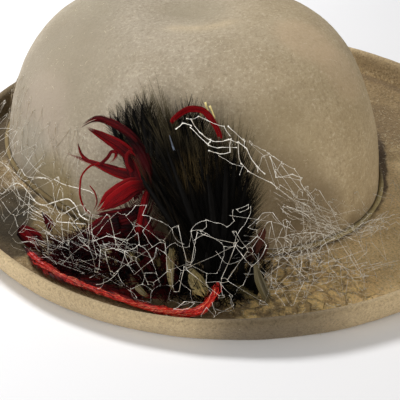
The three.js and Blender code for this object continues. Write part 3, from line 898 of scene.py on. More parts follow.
brimLint = {
    "seed": 71,
    "count": 700,
    "bearings": (-75, 60),
    "outs": (4, 40),
    "inside": 0.92,  # of the way out to the brim's edge
    "length": (1, 4.5),
    "steps": 6,
    "wander": 0.5,
    "lift": (0.15, 0.55),
    "radius": (0.04, 0.09),
    "glueCount": 240,
    "glueBearings": (20, 16),  # middle and spread
    "glueOuts": (14, 46),
    "glueLift": 0.1,
    "glueLength": 0.5,
    "glueRadius": (0.12, 0.3),
    "glueSides": 5,
    "curlCount": 90,
    "curlSteps": 12,
    "curlSides": 4,
    "curlTurn": (1, 5),
    "curlSize": (0.8, 3.2),
    "curlWander": 0.07,
    "curlTones": (0, 0.8),
    "curlLift": 0.12,
    "curlRadius": (0.08, 0.2),
    "pale": shade(226, 214, 184),
    "amber": shade(190, 158, 96),
}


def lintPaint():
    paint = Paint("brimLint")
    colour = paint.mix(brimLint["amber"], brimLint["pale"], paint.step(paint.attribute("tone"), 0.2, 0.7))
    shine = 0.35 + 0.4 * paint.noise(2, 2)
    return paint.surface({"Base Color": colour, "Roughness": shine, "Specular IOR Level": 0.5})


def onBrim(bearing, out, above):
    points = place(bearing, np.full_like(bearing, form["brimFelt"]), out)
    points[..., 2] = brimTop(points[..., 0], points[..., 1]) + above
    return points


def insideRim(points):
    return brimReach(points) < brimLint["inside"]


# fibres that wander about the brim
def looseLint(dice):
    steps = brimLint["steps"]
    bearing = dice.uniform(*brimLint["bearings"], brimLint["count"])
    start = onBrim(bearing, dice.uniform(*brimLint["outs"], len(bearing)), 0)
    start = start[insideRim(start)]
    count = len(start)
    heading = dice.uniform(0, 2 * np.pi, (count, 1))
    turn = heading + np.cumsum(dice.normal(0, brimLint["wander"], (count, steps)), axis=1)
    step = dice.uniform(*brimLint["length"], (count, 1)) / steps
    moves = np.stack([np.cos(turn) * step, np.sin(turn) * step, 0 * turn], -1)
    lines = start[:, None] + np.cumsum(moves, axis=1)
    lines[..., 2] = brimTop(lines[..., 0], lines[..., 1]) + dice.uniform(*brimLint["lift"], turn.shape)
    radii = dice.uniform(*brimLint["radius"], (count, 1)) * np.ones(steps)
    return *tubes(lines, radii), {"tone": 1.0}


def glueSpots(count, dice):
    bearing = dice.normal(*brimLint["glueBearings"], count)
    return onBrim(bearing, dice.uniform(*brimLint["glueOuts"], count), brimLint["glueLift"])


def glueSpecks(dice):
    spots = glueSpots(brimLint["glueCount"], dice)
    spots = spots[insideRim(spots)]
    count, sides = len(spots), brimLint["glueSides"]
    size = dice.uniform(*brimLint["glueRadius"], (count, 1))
    half = dice.normal(0, brimLint["glueLength"], (count, 1, 3)) * np.array([1, 1, 0.1])
    swell = np.array([0.5, 1, 0.5])
    lines = spots[:, None] + half * np.linspace(-1, 1, len(swell))[:, None]
    points, faces = tubes(lines, size * swell, sides)
    return points, faces, {"tone": np.repeat(dice.random(count), len(swell) * sides)}


# curled edges of dried glue
def glueCurls(dice):
    count, steps, sides = brimLint["curlCount"], brimLint["curlSteps"], brimLint["curlSides"]
    spots = glueSpots(count, dice)
    share = np.linspace(0, 1, steps)
    angle = dice.uniform(0, 6, (count, 1)) + dice.uniform(*brimLint["curlTurn"], (count, 1)) * share
    size = dice.uniform(*brimLint["curlSize"], (count, 1))
    size = size * (1 + np.cumsum(dice.normal(0, brimLint["curlWander"], (count, steps)), axis=1))
    tones = dice.uniform(*brimLint["curlTones"], count)
    lines = spots[:, None] + np.stack([size * np.cos(angle), size * np.sin(angle), 0 * angle], -1)
    keep = insideRim(lines).all(1)
    lines = lines[keep]
    lines[..., 2] = brimTop(lines[..., 0], lines[..., 1]) + brimLint["curlLift"]
    radii = dice.uniform(*brimLint["curlRadius"], (len(lines), 1)) * np.sin(np.pi * (0.05 + 0.9 * share))
    points, faces = tubes(lines, radii, sides)
    return points, faces, {"tone": np.repeat(tones[keep], steps * sides)}


lintDice = np.random.default_rng(brimLint["seed"])
lint = joined([made(lintDice) for made in (looseLint, glueSpecks, glueCurls)])
addPiece("brim_lint", lint, lintPaint(), "brim_felt")


# feathers

def alongRows(values, share, at):
    return np.stack([np.interp(at, share, values[:, k]) for k in range(3)], -1)


pastTip = 0.5  # how far a shaft's line runs on past its end, as a share of its length


# Barbs on both sides of a shaft. Its line runs on past its end, so that the last barbs have room.
def barbs(shaft, face, dice, count, reach, spread, curl, steps=5):
    length = np.linalg.norm(np.diff(shaft, axis=0), axis=1).sum()
    runOn = shaft[-1] + unit(shaft[-1] - shaft[-3]) * length * pastTip
    line = np.vstack([shaft, runOn])
    share = np.append(np.linspace(0, 1, len(shaft)), 1 + pastTip)
    along = unit(np.gradient(line, axis=0))
    across = unit(np.cross(along, np.vstack([face, face[-1:]])))
    front = np.cross(across, along)
    root = np.sort(dice.uniform(0.05, 1, count) ** 0.8)[:, None]
    side = np.where(np.arange(count) % 2, 1.0, -1.0)[:, None]
    t = np.linspace(0, 1, steps)[None]
    at = root + reach * dice.uniform(0.7, 1.15, (count, 1)) * t
    wide = np.interp(root, *np.array(spread).T) * dice.uniform(0.75, 1.2, (count, 1))
    lines = alongRows(line, share, at) + alongRows(across, share, at) * (side * wide * t**0.9)[..., None]
    bend = curl * dice.normal(0.3, 1, (count, 1)) * t**2
    lines = lines + alongRows(front, share, at) * bend[..., None]
    return lines + dice.normal(0, 0.12, (count, 1, 3)) * t[..., None], at


def barbTubes(lines, at, radius, dice, tone):
    steps = lines.shape[1]
    t = np.linspace(0, 1, steps)[None]
    radii = radius * dice.uniform(0.75, 1.25, (len(lines), 1)) * (1 - 0.8 * t)
    points, faces = tubes(lines, radii)
    own = np.clip(tone + dice.normal(0, 0.15, len(lines)), 0, 1)
    return points, faces, {"tip": np.repeat(at.ravel(), 3), "tone": np.repeat(own, steps * 3)}


def shaftTube(shaft, thick, tone, sides=5):
    points, faces = tubes(shaft[None], np.linspace(thick, thick * 0.2, len(shaft))[None], sides)
    return points, faces, {"tip": np.repeat(np.linspace(0, 1, len(shaft)), sides), "tone": tone}


def pathLine(path, steps):
    return smoothLine(place(*np.array(path, float).T), steps)


# A blade along a path: a few narrow strips side by side, parting towards the tip, and fibres lying on them.
def blade(path, widths, tone, dice, strips=5, thick=0.16, steps=36, fibres=26, narrows=0.8):
    line = pathLine(path, steps)
    share = np.linspace(0, 1, steps)
    wide = np.interp(share, np.linspace(0, 1, len(widths)), widths)
    camber = dice.uniform(0.08, 0.2) * wide
    face = unit(awayFromCrown(line) + [0, 0, 0.5])
    along = unit(np.gradient(line, axis=0))
    across = unit(np.cross(along, face))
    front = np.cross(across, along)

    def lying(at, aside):
        half = np.interp(at, share, wide) / 2
        rise = np.interp(at, share, camber) * (1 - aside**2)
        on = alongRows(line, share, at) + alongRows(across, share, at) * (half * aside)[..., None]
        return on + alongRows(front, share, at) * rise[..., None]

    parts = []
    for strip in range(strips):
        at = share * dice.uniform(0.84, 1)
        aside = 0.85 * ((strip + 0.5) / strips * 2 - 1) + dice.normal(0, 0.35) * at**3
        middle = lying(at, aside) + front * dice.uniform(-0.15, 0.25)
        own = np.interp(at, share, wide) / strips * dice.uniform(0.9, 1.4)
        own = own * (1 - narrows * ease((share - 0.7) / 0.3))
        points, faces, shades = vane(middle, face, own, 0.1 * own, thick, 4)
        parts.append((points, faces, {**shades, "tone": tone + dice.normal(-0.05, 0.15)}))
    t = np.linspace(0, 1, 14)[None]
    at = between(dice.uniform(0, 0.4, (fibres, 1)), dice.uniform(0.55, 1, (fibres, 1)), t)
    aside = dice.uniform(-1, 1, (fibres, 1)) * (0.9 + dice.uniform(0.1, 0.9, (fibres, 1)) * t**3)
    lines = lying(at, aside) + alongRows(front, share, at) * 0.12
    radii = dice.uniform(0.05, 0.13, (fibres, 1)) * np.sin(np.pi * (0.08 + 0.88 * t))
    points, faces = tubes(lines, radii)
    own = np.repeat(np.clip(tone + dice.normal(0, 0.35, fibres), 0, 1), 14 * 3)
    parts.append((points, faces, {"along": np.repeat(at.ravel(), 3), "across": 0.0, "tone": own}))
    return joined(parts)


# loose down about a place: short barbs heading every way
def down(middle, spread, count, length, dice, steps=4):
    root = place(*(np.array(middle) + dice.uniform(-1, 1, (count, 3)) * spread).T)[:, None]
    heading = unit(dice.normal(0, 1, (count, 1, 3)) + [0, 0, 0.3])
    heading = heading * length * dice.uniform(0.5, 1, (count, 1, 1))
    t = np.linspace(0, 1, steps)
    lines = root + heading * t[:, None] + dice.normal(0, 0.2 * length, (count, 1, 3)) * t[:, None] ** 2
    flat = keptClear(lines.reshape(-1, 3), 0.35)
    return flat.reshape(lines.shape), np.broadcast_to(0.3 + 0.4 * t, (count, steps))


# black hackle plume

blackPlume = {
    "seed": 11,
    "root": (41, 9),
    "tips": [  # bearing and height
        (78, 67), (75.5, 70), (73, 73), (71, 75.5), (68.5, 78), (66, 80.5), (63.5, 79.5), (61.5, 78),
        (59.5, 75.5), (57, 72.5), (54.5, 71.5), (52, 72.5), (50, 73.5), (48, 74), (46, 74), (44.5, 76),
        (41.5, 77), (38.5, 76), (36, 74.5), (33.5, 72), (32, 68), (31, 62), (30, 55), (30, 47), (31, 39),
        (33, 32),
    ],
    "lean": [(22, 0, 0), (17.5, 0.27, 0.35), (14.5, 0.54, 0.7), (8.5, 1, 1)],  # out, fan and rise
    "skirt": [  # short feathers about the foot: bearing and height of the root, then of the tip
        (56, 8, 61, 29), (55, 6, 59, 22), (57, 5, 61, 15), (53, 5, 55, 25), (54, 4, 56, 14),
        (53, 7, 57, 31), (51, 6, 54, 34), (49, 6, 51, 32), (46, 5, 48, 30), (44, 5, 45, 31),
        (41, 5, 41, 33),
        (38, 5, 37, 32), (36, 6, 34, 29), (35, 5, 32, 24), (50, 4, 51, 19), (46, 4, 47, 17),
        (42, 4, 42, 16),
        (38, 4, 37, 18), (43, 16, 42, 3), (40, 15, 39, 2), (37, 16, 36, 4),
    ],
    "down": [  # middle and spread, each of bearing, height and out; count and length
        ((47, 10, 31), (9, 4, 8), 700, 11),
        ((57, 12, 29), (5, 5, 9), 400, 10),
        ((41, 9, 30), (5, 4, 5), 200, 8),
    ],
    "steps": 36,
    "shortSteps": 20,
    "shaftShare": 0.8,
    "layers": 2,
    "tones": [0.1, 0.2, 0.35, 0.75],
    "toneOdds": [0.4, 0.3, 0.2, 0.1],
    "barbs": 96,
    "shortBarbs": 84,
    "shortReach": 0.4,
    "shortSpread": [(0, 2), (0.5, 4.5), (1, 2.4)],
    "webWidth": 3.4,
    "barbReach": 0.34,
    "spread": [(0, 1.5), (0.35, 5), (0.8, 4.2), (1, 1.8)],
    "barbRadius": 0.12,
    "black": shade(5, 4, 3),
    "brown": shade(40, 33, 23),
    "tipTone": shade(98, 88, 64),
    "paintedGlint": shade(112, 124, 142),
    "glintPath": [(54.8, 67, 17), (54, 64.5, 17.3), (53.2, 62, 17.6)],
    "crest": [  # close feathers at the top left, and under the red arch, like the skirt
        (67, 53, 77, 66), (66, 54, 75, 69), (64.5, 55, 72.5, 72), (63, 56, 70, 74.5), (61, 57, 67, 77),
        (59.5, 56, 64, 76.5), (57.5, 55, 60.5, 74), (56, 53, 57, 71.5),
    ],
    "underArch": [
        (54, 50, 54.5, 73), (52.5, 52, 52.5, 76), (51, 52, 50.8, 78), (49.5, 52, 49, 78.5),
        (48, 52, 47.3, 78.5), (46, 52, 45.5, 77),
    ],
    "groups": [  # name, out of the root and of the tip, and how pale the tips turn
        ("skirt", 31, 27, 0.6), ("crest", 14, 11, 0.95), ("underArch", 15, 12, 0.4),
    ],
    "oliveSpot": ((46.5, 53.5, 13), 13, shade(108, 90, 56)),  # place, radius, colour
}


def blackPaint():
    paint = Paint("blackHackle")
    tip = paint.attribute("tip")
    tone = paint.attribute("tone")
    colour = paint.mix(blackPlume["black"], blackPlume["brown"], paint.step(tone, 0.4, 0.95))
    where, radius, olive = blackPlume["oliveSpot"]
    near = paint.patch(place(*where), radius)
    colour = paint.mix(colour, olive, 0.75 * near * paint.step(tone + 0.5 * paint.noise(1.5, 2), 0.4, 0.7))
    colour = paint.mix(colour, blackPlume["tipTone"], 0.8 * paint.step(tip + 0.2 * tone, 0.98, 1.3))
    # painted bluish highlight on the bare shaft
    colour = paint.mix(colour, blackPlume["paintedGlint"], paint.step(tone, 1.2, 1.6) * paint.noise(1.5, 3))
    return paint.surface({"Base Color": colour, "Roughness": 0.6 + 0.2 * tone, "Specular IOR Level": 0.06})


# the closed part of a feather's vane, narrowing to both ends
def blackWeb(shaft):
    share = np.linspace(0, 1, len(shaft))
    wide = blackPlume["webWidth"] * np.sin(np.pi * (0.12 + 0.86 * share)) ** 0.7
    points, faces, shades = vane(shaft, awayFromCrown(shaft), wide, 0.12 * wide, 0.15, 3)
    return points, faces, {"tip": 0.5 * shades["along"], "tone": 0.05}


# a bare shaft, coloured with a painted bluish highlight
def plumeGlint():
    line = pathLine(blackPlume["glintPath"], 12)
    points, faces, _ = vane(line, awayFromCrown(line), np.linspace(0.3, 0.9, 12), np.full(12, 0.15), 0.2, 3)
    return points, faces, {"tip": 0.0, "tone": 2.0}


def makePlume():
    dice = np.random.default_rng(blackPlume["seed"])
    parts = []
    out, fan, rise = np.array(blackPlume["lean"]).T
    rootBearing, rootHeight = blackPlume["root"]
    for bearing, height in blackPlume["tips"]:
        for layer in range(blackPlume["layers"]):
            tipBearing = bearing + dice.normal(0, 1.2)
            tipHeight = height - layer * dice.uniform(5, 24) + dice.normal(0, 1.2)
            stops = place(between(rootBearing, tipBearing, fan),
                          between(rootHeight, tipHeight, rise), out + dice.uniform(-2.5, 2) + layer)
            steps = blackPlume["steps"]
            shaft = smoothLine(stops, steps)[:int(steps * blackPlume["shaftShare"])]
            tone = dice.choice(blackPlume["tones"], p=blackPlume["toneOdds"])
            lines, at = barbs(shaft, awayFromCrown(shaft), dice, blackPlume["barbs"],
                              blackPlume["barbReach"], blackPlume["spread"], 1.2, 4)
            parts.append(barbTubes(lines, at, blackPlume["barbRadius"], dice, tone))
            parts.append(blackWeb(shaft))
    for group, rootOut, tipOut, paleness in blackPlume["groups"]:
        for rootBearing, rootHeight, tipBearing, tipHeight in blackPlume[group]:
            ends = [(rootBearing, rootHeight, rootOut), (tipBearing, tipHeight, tipOut)]
            steps = blackPlume["shortSteps"]
            shaft = pathLine(ends, steps)[:int(steps * blackPlume["shaftShare"])]
            lines, at = barbs(shaft, awayFromCrown(shaft), dice, blackPlume["shortBarbs"],
                              blackPlume["shortReach"], blackPlume["shortSpread"], 0.8, 4)
            parts.append(barbTubes(lines, paleness * at, blackPlume["barbRadius"], dice, 0.1))
            parts.append(blackWeb(shaft))
    parts.append(plumeGlint())
    return joined(parts)


def makePlumeDown():
    dice = np.random.default_rng(blackPlume["seed"] + 1)
    parts = []
    for middle, spread, count, length in blackPlume["down"]:
        lines, at = down(middle, spread, count, length, dice)
        parts.append(barbTubes(lines, at, 2 * blackPlume["barbRadius"], dice, 0.05))
    return joined(parts)


blackMaterial = blackPaint()
addPiece("black_hackles", makePlume(), blackMaterial, "black_feather", "black_plume")
addPiece("black_down", makePlumeDown(), blackMaterial, "black_feather")


# red biots, flat curled strips

redBiots = {
    "seed": 23,
    "strips": [  # tone, widths along, and a path of bearing, height and out
        (0.3, [4, 4, 4, 3.9, 3.7, 3.4, 3, 2.4, 1.5, 0.3],
         [(61.8, 56, 12), (64, 60, 13.5), (65.5, 62, 14.5), (67.8, 63.8, 15), (70.5, 65, 15.5),
          (73.5, 65.8, 16), (77, 66.2, 17), (79.2, 65, 18), (80.8, 63, 19), (82.2, 60.5, 20)]),
        (0.62, [5, 6, 6.2, 5.4, 4, 2.4, 1.3, 0.3],
         [(62.8, 51, 13), (65.2, 54.5, 14.5), (67.8, 57, 15.5), (70.2, 58.5, 16), (73.8, 59.5, 16),
          (77.5, 60.2, 16), (79.8, 60.5, 16), (81.2, 60.5, 16)]),
        (0.1, [2, 7, 9, 8, 4],
         [(68, 61, 13.5), (65, 59, 13.5), (62.6, 55, 13.5), (60.4, 50, 14.5), (59, 43.8, 15.5)]),
        (0.3, [2, 6, 8, 8, 5],
         [(69, 57, 14.5), (66.2, 54, 14.5), (63.8, 50.4, 15.5), (61.8, 45, 16.5), (60.4, 39, 18)]),
        (0.5, [4, 6.2, 5, 2.6, 1.4, 0.3],
         [(58, 46, 12), (64.5, 47, 15.5), (69, 47, 16), (75.5, 47, 15), (82, 46, 14), (88.5, 45, 13)]),
        (0.75, [2, 2, 1.7, 1.4, 1, 0.3],
         [(68.5, 49, 16.5), (73, 48, 15.5), (77, 46.5, 14.5), (81, 47.5, 14), (83, 50, 13.5),
          (84, 52, 13.5)]),
        (0.8, [1.5, 1.5, 1.5, 1.4, 1.2, 0.5],
         [(74, 48, 16), (72, 52, 16.5), (71, 55, 16.5), (69.5, 55, 16.5), (70, 52, 16),
          (71.5, 49.5, 15.5)]),
        (0.7, [1.2, 1.2, 1.1, 1, 0.5],
         [(64, 50, 18), (65.5, 53, 18.5), (66, 56.5, 18.5), (65, 58, 18), (63, 56, 18)]),
        (0.85, [0.9, 0.8, 0.7, 0.7, 0.7, 0.6, 0.5, 0.3],
         [(74, 48.5, 16), (77, 46, 16.5), (79, 41, 17), (79, 36.5, 17.5), (78.5, 32, 18), (77, 28, 18.5),
          (75, 26, 19), (73, 25, 20)]),
        (0.8, [0.5, 0.6, 0.5, 0.2], [(76, 38, 17.5), (74, 36, 18), (73, 32, 18.5), (74, 27, 19)]),
        (0.72, [5, 9, 10.4, 9, 5.4, 0.6],
         [(60.5, 45, 16), (63.4, 43.8, 18), (65.6, 41, 20), (68.3, 36.8, 20.5), (70.2, 33, 21),
          (72.4, 29.3, 21)]),
        (0.5, [2.8, 3.3, 3.8, 3.8, 1.4],
         [(59, 46, 14), (59.7, 40, 18.5), (60, 34, 21), (60.5, 27, 22), (61, 19.5, 23)]),
        (0.45, [2.8, 3.8, 3.8, 1.4], [(59.5, 34.5, 21), (58, 28, 22), (57, 21.5, 23), (56, 14, 24)]),
        (0.3, [6.6, 8.5, 7.5, 2.4], [(65.5, 28.5, 22), (69, 26, 23), (72, 21, 24), (74, 16, 25)]),
        (0.2, [4, 8, 8.5, 6, 2],
         [(60.5, 34.5, 18.5), (63.5, 31.5, 19.5), (67, 28.8, 20.5), (70.5, 27, 21), (73.5, 26, 21.5)]),
        (0.12, [5, 8, 7.5, 3], [(60.5, 27, 20.5), (64, 25, 21.5), (68, 23, 22.5), (72.5, 21.5, 23)]),
        (0.25, [5.6, 6.6, 5.5, 2.6], [(70, 15.5, 24), (74, 13, 26), (78, 10, 28), (81, 9, 30)]),
        (0.45, [5, 8, 8.5, 8, 4],
         [(93, 8.6, 29.5), (91, 9, 29.5), (89, 9.2, 30), (86.5, 8.8, 30.5), (84, 8, 31)]),
        (0.2, [6, 9, 9, 6, 3],
         [(92.6, 7.6, 28.5), (90.5, 8.2, 28.5), (88, 8.2, 29), (85, 7.8, 29.5), (81, 7.5, 30)]),
        (0.4, [0.6, 2.6, 4.4, 5, 4],
         [(92, 13.8, 17), (90.5, 13, 17.5), (89, 11.5, 18), (87.5, 10, 18.5), (86, 9, 19)]),
        # two near-black maroon strips: painted shade in the hollow under the plume
        (0.1, [5, 8, 7, 3], [(62, 14, 21), (68, 14, 20), (74, 12, 20.5), (80, 9.5, 22)]),
        (0.2, [5, 8, 8, 3], [(62, 12, 22), (69, 10, 24), (75, 9.5, 28), (81, 8.5, 32)]),
        (0.3, [1.5, 3, 4, 3, 1],
         [(37, 19, 26), (34.8, 24, 24), (33, 28, 21.5), (32, 31, 19.5), (31.5, 33, 18.5)]),
        (0.2, [1.5, 2.5, 3, 2, 0.8],
         [(36, 16, 26), (34, 19, 24.5), (32.5, 22, 22.5), (31.5, 24, 21), (31, 26, 20)]),
    ],
    "brownSpot": ((31, 28, 20), 20, shade(74, 42, 34)),  # place, radius, colour
    "fluff": [  # paths of the dark downy feathers among them, near black as painted shade under the plume
        [(62, 12, 22), (67, 18, 27), (73, 15, 32)],
        [(62, 12, 22), (64, 20, 29), (66, 17, 34)],
        [(60, 12, 23), (58, 20, 30), (57, 16, 35)],
        [(57, 12, 24), (54, 20, 30), (52, 15, 35)],
        [(62, 14, 22), (71, 19, 24), (77, 15, 27)],
        [(62, 14, 21), (71, 15, 24), (79, 11, 26)],
        [(64, 12, 24), (74, 11, 30), (82, 8.5, 33)],
        [(64, 10, 26), (72, 9, 35), (79, 7, 39)],
        [(58, 10, 28), (58, 12, 36), (60, 8, 41)],
        [(54, 10, 28), (53, 12, 36), (54, 8, 41)],
        [(60, 14, 22), (59, 28, 21), (60, 44, 16)],
        [(64, 24, 21), (63, 34, 20), (62, 44, 17)],
        [(60, 8, 30), (64, 13, 34), (69, 11, 37)],
        [(58, 8, 28), (60, 15, 32), (63, 13, 35)],
        [(56, 8, 29), (55, 14, 33), (56, 10, 37)],
        [(66, 10, 28), (70, 15, 31), (76, 12, 33)],
        [(68, 12, 26), (76, 14, 28), (84, 11, 30)],
        [(60, 18, 24), (64, 22, 25), (69, 19, 27)],
        [(58, 20, 24), (56, 27, 26), (55, 22, 29)],
        [(70, 8, 32), (76, 9, 35), (82, 7, 37)],
        [(36, 17, 26), (34, 23, 24), (32.5, 28, 21)],
    ],
    "rootedFrom": 3,
    "stripWidth": 1.8,
    "mostStrips": 5,
    "fluffSteps": (24, 20),  # along its path, and of them along its shaft
    "fluffBarbs": 70,
    "fluffReach": 0.35,
    "fluffSpread": [(0, 2), (0.4, 6), (1, 3)],
    "fluffRadius": 0.24,
    "downRadius": 0.26,
    # near-black down: painted shade in the same hollow
    "down": [  # middle and spread, each of bearing, height and out; count and length
        ((69, 12, 27), (9, 5, 10), 900, 10),
        ((78, 8, 31), (5, 2.5, 6), 240, 8),
        ((62, 20, 22), (4, 6, 4), 140, 7),
    ],
    "black": shade(10, 3, 4),
    "maroon": shade(46, 4, 8),
    "crimson": shade(130, 8, 14),
    # painted highlight along the rolled edges
    "edge": shade(176, 70, 60),
}


# streaks along the blade; near black at the root, partly the strips' own tone and partly painted shade;
# painted highlights at the rolled edges
def redPaint():
    paint = Paint("burgundyBiot")
    along = paint.attribute("along")
    across = paint.attribute("across")
    tone = paint.attribute("tone")
    where = paint.add("ShaderNodeCombineXYZ", {}, {0: along * 4, 1: across * 14, 2: tone * 40})
    values = {"Vector": where, "Scale": 1.6, "Detail": 4, "Roughness": 0.65}
    streak = paint.add("ShaderNodeTexNoise", {}, values)
    glow = tone - 0.1 + 2.4 * (streak - 0.5) + 0.1 * paint.step(along, 0.15, 0.6)
    colour = paint.mix(redBiots["maroon"], redBiots["crimson"], paint.step(glow, 0.15, 0.95))
    colour = paint.mix(redBiots["black"], colour, paint.step(along * 1.4 + glow, 0.1, 0.7))
    # near black at the root: partly the strips' own tone, partly painted shade under the plume
    colour = paint.mix(redBiots["black"], colour, 0.2 + 0.8 * paint.step(along, 0.02, 0.25))
    # painted highlight along the rolled edges
    edge = paint.step(across * across, 0.7, 1) * paint.step(tone, 0.4, 0.8)
    colour = paint.mix(colour, redBiots["edge"], 0.2 * edge)
    where, radius, brown = redBiots["brownSpot"]
    colour = paint.mix(colour, brown, 0.9 * paint.patch(place(*where), radius))
    values = {
        "Base Color": colour,
        "Roughness": 0.5 + 0.2 * streak,
        "Specular IOR Level": 0.05,
        "Normal": paint.bump(streak, 0.3, 0.35),
    }
    return paint.surface(values)


def makeBiots():
    dice = np.random.default_rng(redBiots["seed"])
    parts = []
    for tone, widths, path in redBiots["strips"]:
        strips = min(redBiots["mostStrips"], 1 + int(max(widths) / redBiots["stripWidth"]))
        points, faces, shades = blade(path, widths, tone, dice, strips)
        if max(widths) < redBiots["rootedFrom"]:
            shades["along"] = between(0.4, 1, shades["along"])  # thin curls are red from end to end
        parts.append((points, faces, shades))
    steps, shaftSteps = redBiots["fluffSteps"]
    for path in redBiots["fluff"]:
        shaft = pathLine(path, steps)[:shaftSteps]
        lines, at = barbs(shaft, awayFromCrown(shaft), dice, redBiots["fluffBarbs"],
                          redBiots["fluffReach"], redBiots["fluffSpread"], 2)
        # a tone near 0 keeps the fluff near black, as painted shade
        points, faces, shades = barbTubes(lines, at, redBiots["fluffRadius"], dice, 0.02)
        parts.append((points, faces, {"along": shades["tip"], "across": 0.0, "tone": shades["tone"]}))
    for middle, spread, count, length in redBiots["down"]:
        lines, at = down(middle, spread, count, length, dice)
        points, faces, shades = barbTubes(lines, at, redBiots["downRadius"], dice, 0)
        # the down nearly black from root to tip, as painted shade
        parts.append((points, faces, {"along": 0.2 * shades["tip"], "across": 0.0, "tone": shades["tone"]}))
    return joined(parts)


redMaterial = redPaint()
addPiece("red_curled_strips", makeBiots(), redMaterial, "red_feather", "red_biots")

# one more strip, arched over the middle of the plume
redCurl = {
    "seed": 29,
    "tone": 0.75,
    "path": [(51, 50, 3), (52, 64, 5), (53.5, 69, 10), (54.5, 71, 14), (53, 73.5, 14.5), (50.5, 76, 15),
             (48, 77, 15.5), (45.5, 77, 16.5), (43.5, 75, 17.5), (42, 72, 18), (41.3, 69, 18),
             (41, 65.5, 17.5)],
    "widths": [1, 1.4, 1.8, 2.2, 2.7, 3, 3, 2.9, 2.8, 2.6, 2.4, 2],
}
archedStrip = blade(redCurl["path"], redCurl["widths"], redCurl["tone"],
                    np.random.default_rng(redCurl["seed"]), 2, steps=70, narrows=0.15)
addPiece("red_arched_strip", archedStrip, redMaterial, "red_feather", "red_curl")


# golden hackles low in front, and a few gilt barbs up through the plume

goldHackles = {
    "seed": 31,
    "tufts": [  # a path of each tuft
        [(52, 7, 30), (52.5, 16, 31), (52.2, 25, 30)],
        [(52, 7, 30), (54, 14, 31), (56, 21, 28)],
        [(52, 7, 30), (57, 13, 31), (62, 19, 29)],
        [(52, 7, 30), (57, 9, 34), (60, 9, 36)],
        [(50, 8, 30), (47, 12, 33), (44, 10, 35)],
        [(48, 8, 31), (44, 9, 34), (41, 8, 35)],
        [(44, 9, 30), (39, 12, 34), (35, 8, 37)],
    ],
    "leaves": [  # tone, widths and path of each flat piece
        (0.35, [1, 4, 3, 0.6], [(52.4, 26, 30), (52.2, 21, 33), (52, 16, 36), (51.5, 11, 39)]),
        (0.5, [2, 7, 7, 2], [(48, 19, 32), (47, 15.5, 34.5), (46, 12, 37), (45, 9, 38.5)]),
        (0.1, [1, 3.2, 2.6, 0.6], [(60.5, 13, 35), (59, 10.5, 38), (57.5, 9, 40), (56, 8, 41.5)]),
        (0.3, [1.5, 4, 3, 1], [(43, 12, 33), (42, 9, 34.5), (41, 6.5, 36), (40.5, 5, 37)]),
        (0.7, [0.5, 2.4, 2.2, 0.5], [(71, 32, 20), (69.3, 33, 20.5), (67.6, 35, 20.5), (66, 37, 20)]),
        (-0.35, [2, 4.5, 4.5, 3], [(35.5, 24, 34), (35, 18, 36.5), (34, 12, 38.5), (33, 7, 40)]),
        (0.5, [2, 6, 6, 2], [(69, 18, 27), (67, 15.5, 29), (65, 12.5, 31.5), (63, 10, 33)]),
    ],
    "gilt": [  # rising through the plume, bright at the ends
        [(43, 30, 10), (43, 60, 8.6), (43.4, 71, 8), (44.6, 76.5, 7)],
        [(42, 30, 10), (42, 60, 8.6), (41.6, 70, 8), (43.2, 75.5, 7)],
        [(44, 30, 10), (44.6, 60, 8.8), (45.6, 70, 8.5), (46.6, 74.5, 8)],
    ],
    "barbs": 100,
    "barbRadius": 0.15,
    "spread": [(0, 1), (0.4, 2.2), (0.8, 1.8), (1, 0.7)],
    "olive": shade(80, 70, 38),
    "gold": shade(176, 156, 100),
    "giltTone": shade(246, 226, 150),
}


def goldPaint():
    paint = Paint("goldHackle")
    tip = paint.attribute("tip")
    tone = paint.attribute("tone")
    glow = tip * 0.35 + tone * 0.7 + 0.4 * (paint.noise(1.2, 2) - 0.5)
    colour = paint.mix(goldHackles["olive"], goldHackles["gold"], paint.step(glow, 0.15, 0.9))
    colour = paint.mix(colour, goldHackles["giltTone"], paint.step(tone, 0.95, 1))
    return paint.surface({"Base Color": colour, "Roughness": 0.45, "Specular IOR Level": 0.4})


def makeHackles():
    dice = np.random.default_rng(goldHackles["seed"])
    parts = []
    for path in goldHackles["tufts"]:
        shaft = pathLine(path, 20)[:17]
        tone = dice.uniform(0.1, 0.5)
        lines, at = barbs(shaft, awayFromCrown(shaft), dice, goldHackles["barbs"], 0.3,
                          goldHackles["spread"], 0.6)
        parts.append(barbTubes(lines, at, goldHackles["barbRadius"], dice, tone))
        parts.append(shaftTube(shaft, 0.4, tone))
    for tone, widths, path in goldHackles["leaves"]:
        points, faces, shades = blade(path, widths, tone, dice, 4, steps=24)
        parts.append((points, faces, {"tip": shades["along"], "tone": np.minimum(shades["tone"], 0.85)}))
    for path in goldHackles["gilt"]:
        shaft = pathLine(path, 24)
        end = shaft[17:]
        widths = np.linspace(0.5, 1, len(end))
        points, faces, _ = vane(end, awayFromCrown(end), widths, np.full(len(end), 0.1), 0.2, 3)
        parts.append((points, faces, {"tip": 1.0, "tone": 1.0}))
        parts.append(shaftTube(shaft[:18], 0.3, 0.2))
    return joined(parts)


addPiece("golden_tufts", makeHackles(), goldPaint(), "golden_feather", "golden_hackles")


# scarlet quill, its vane rolled into a cord of barbs, in the gutter of the rim

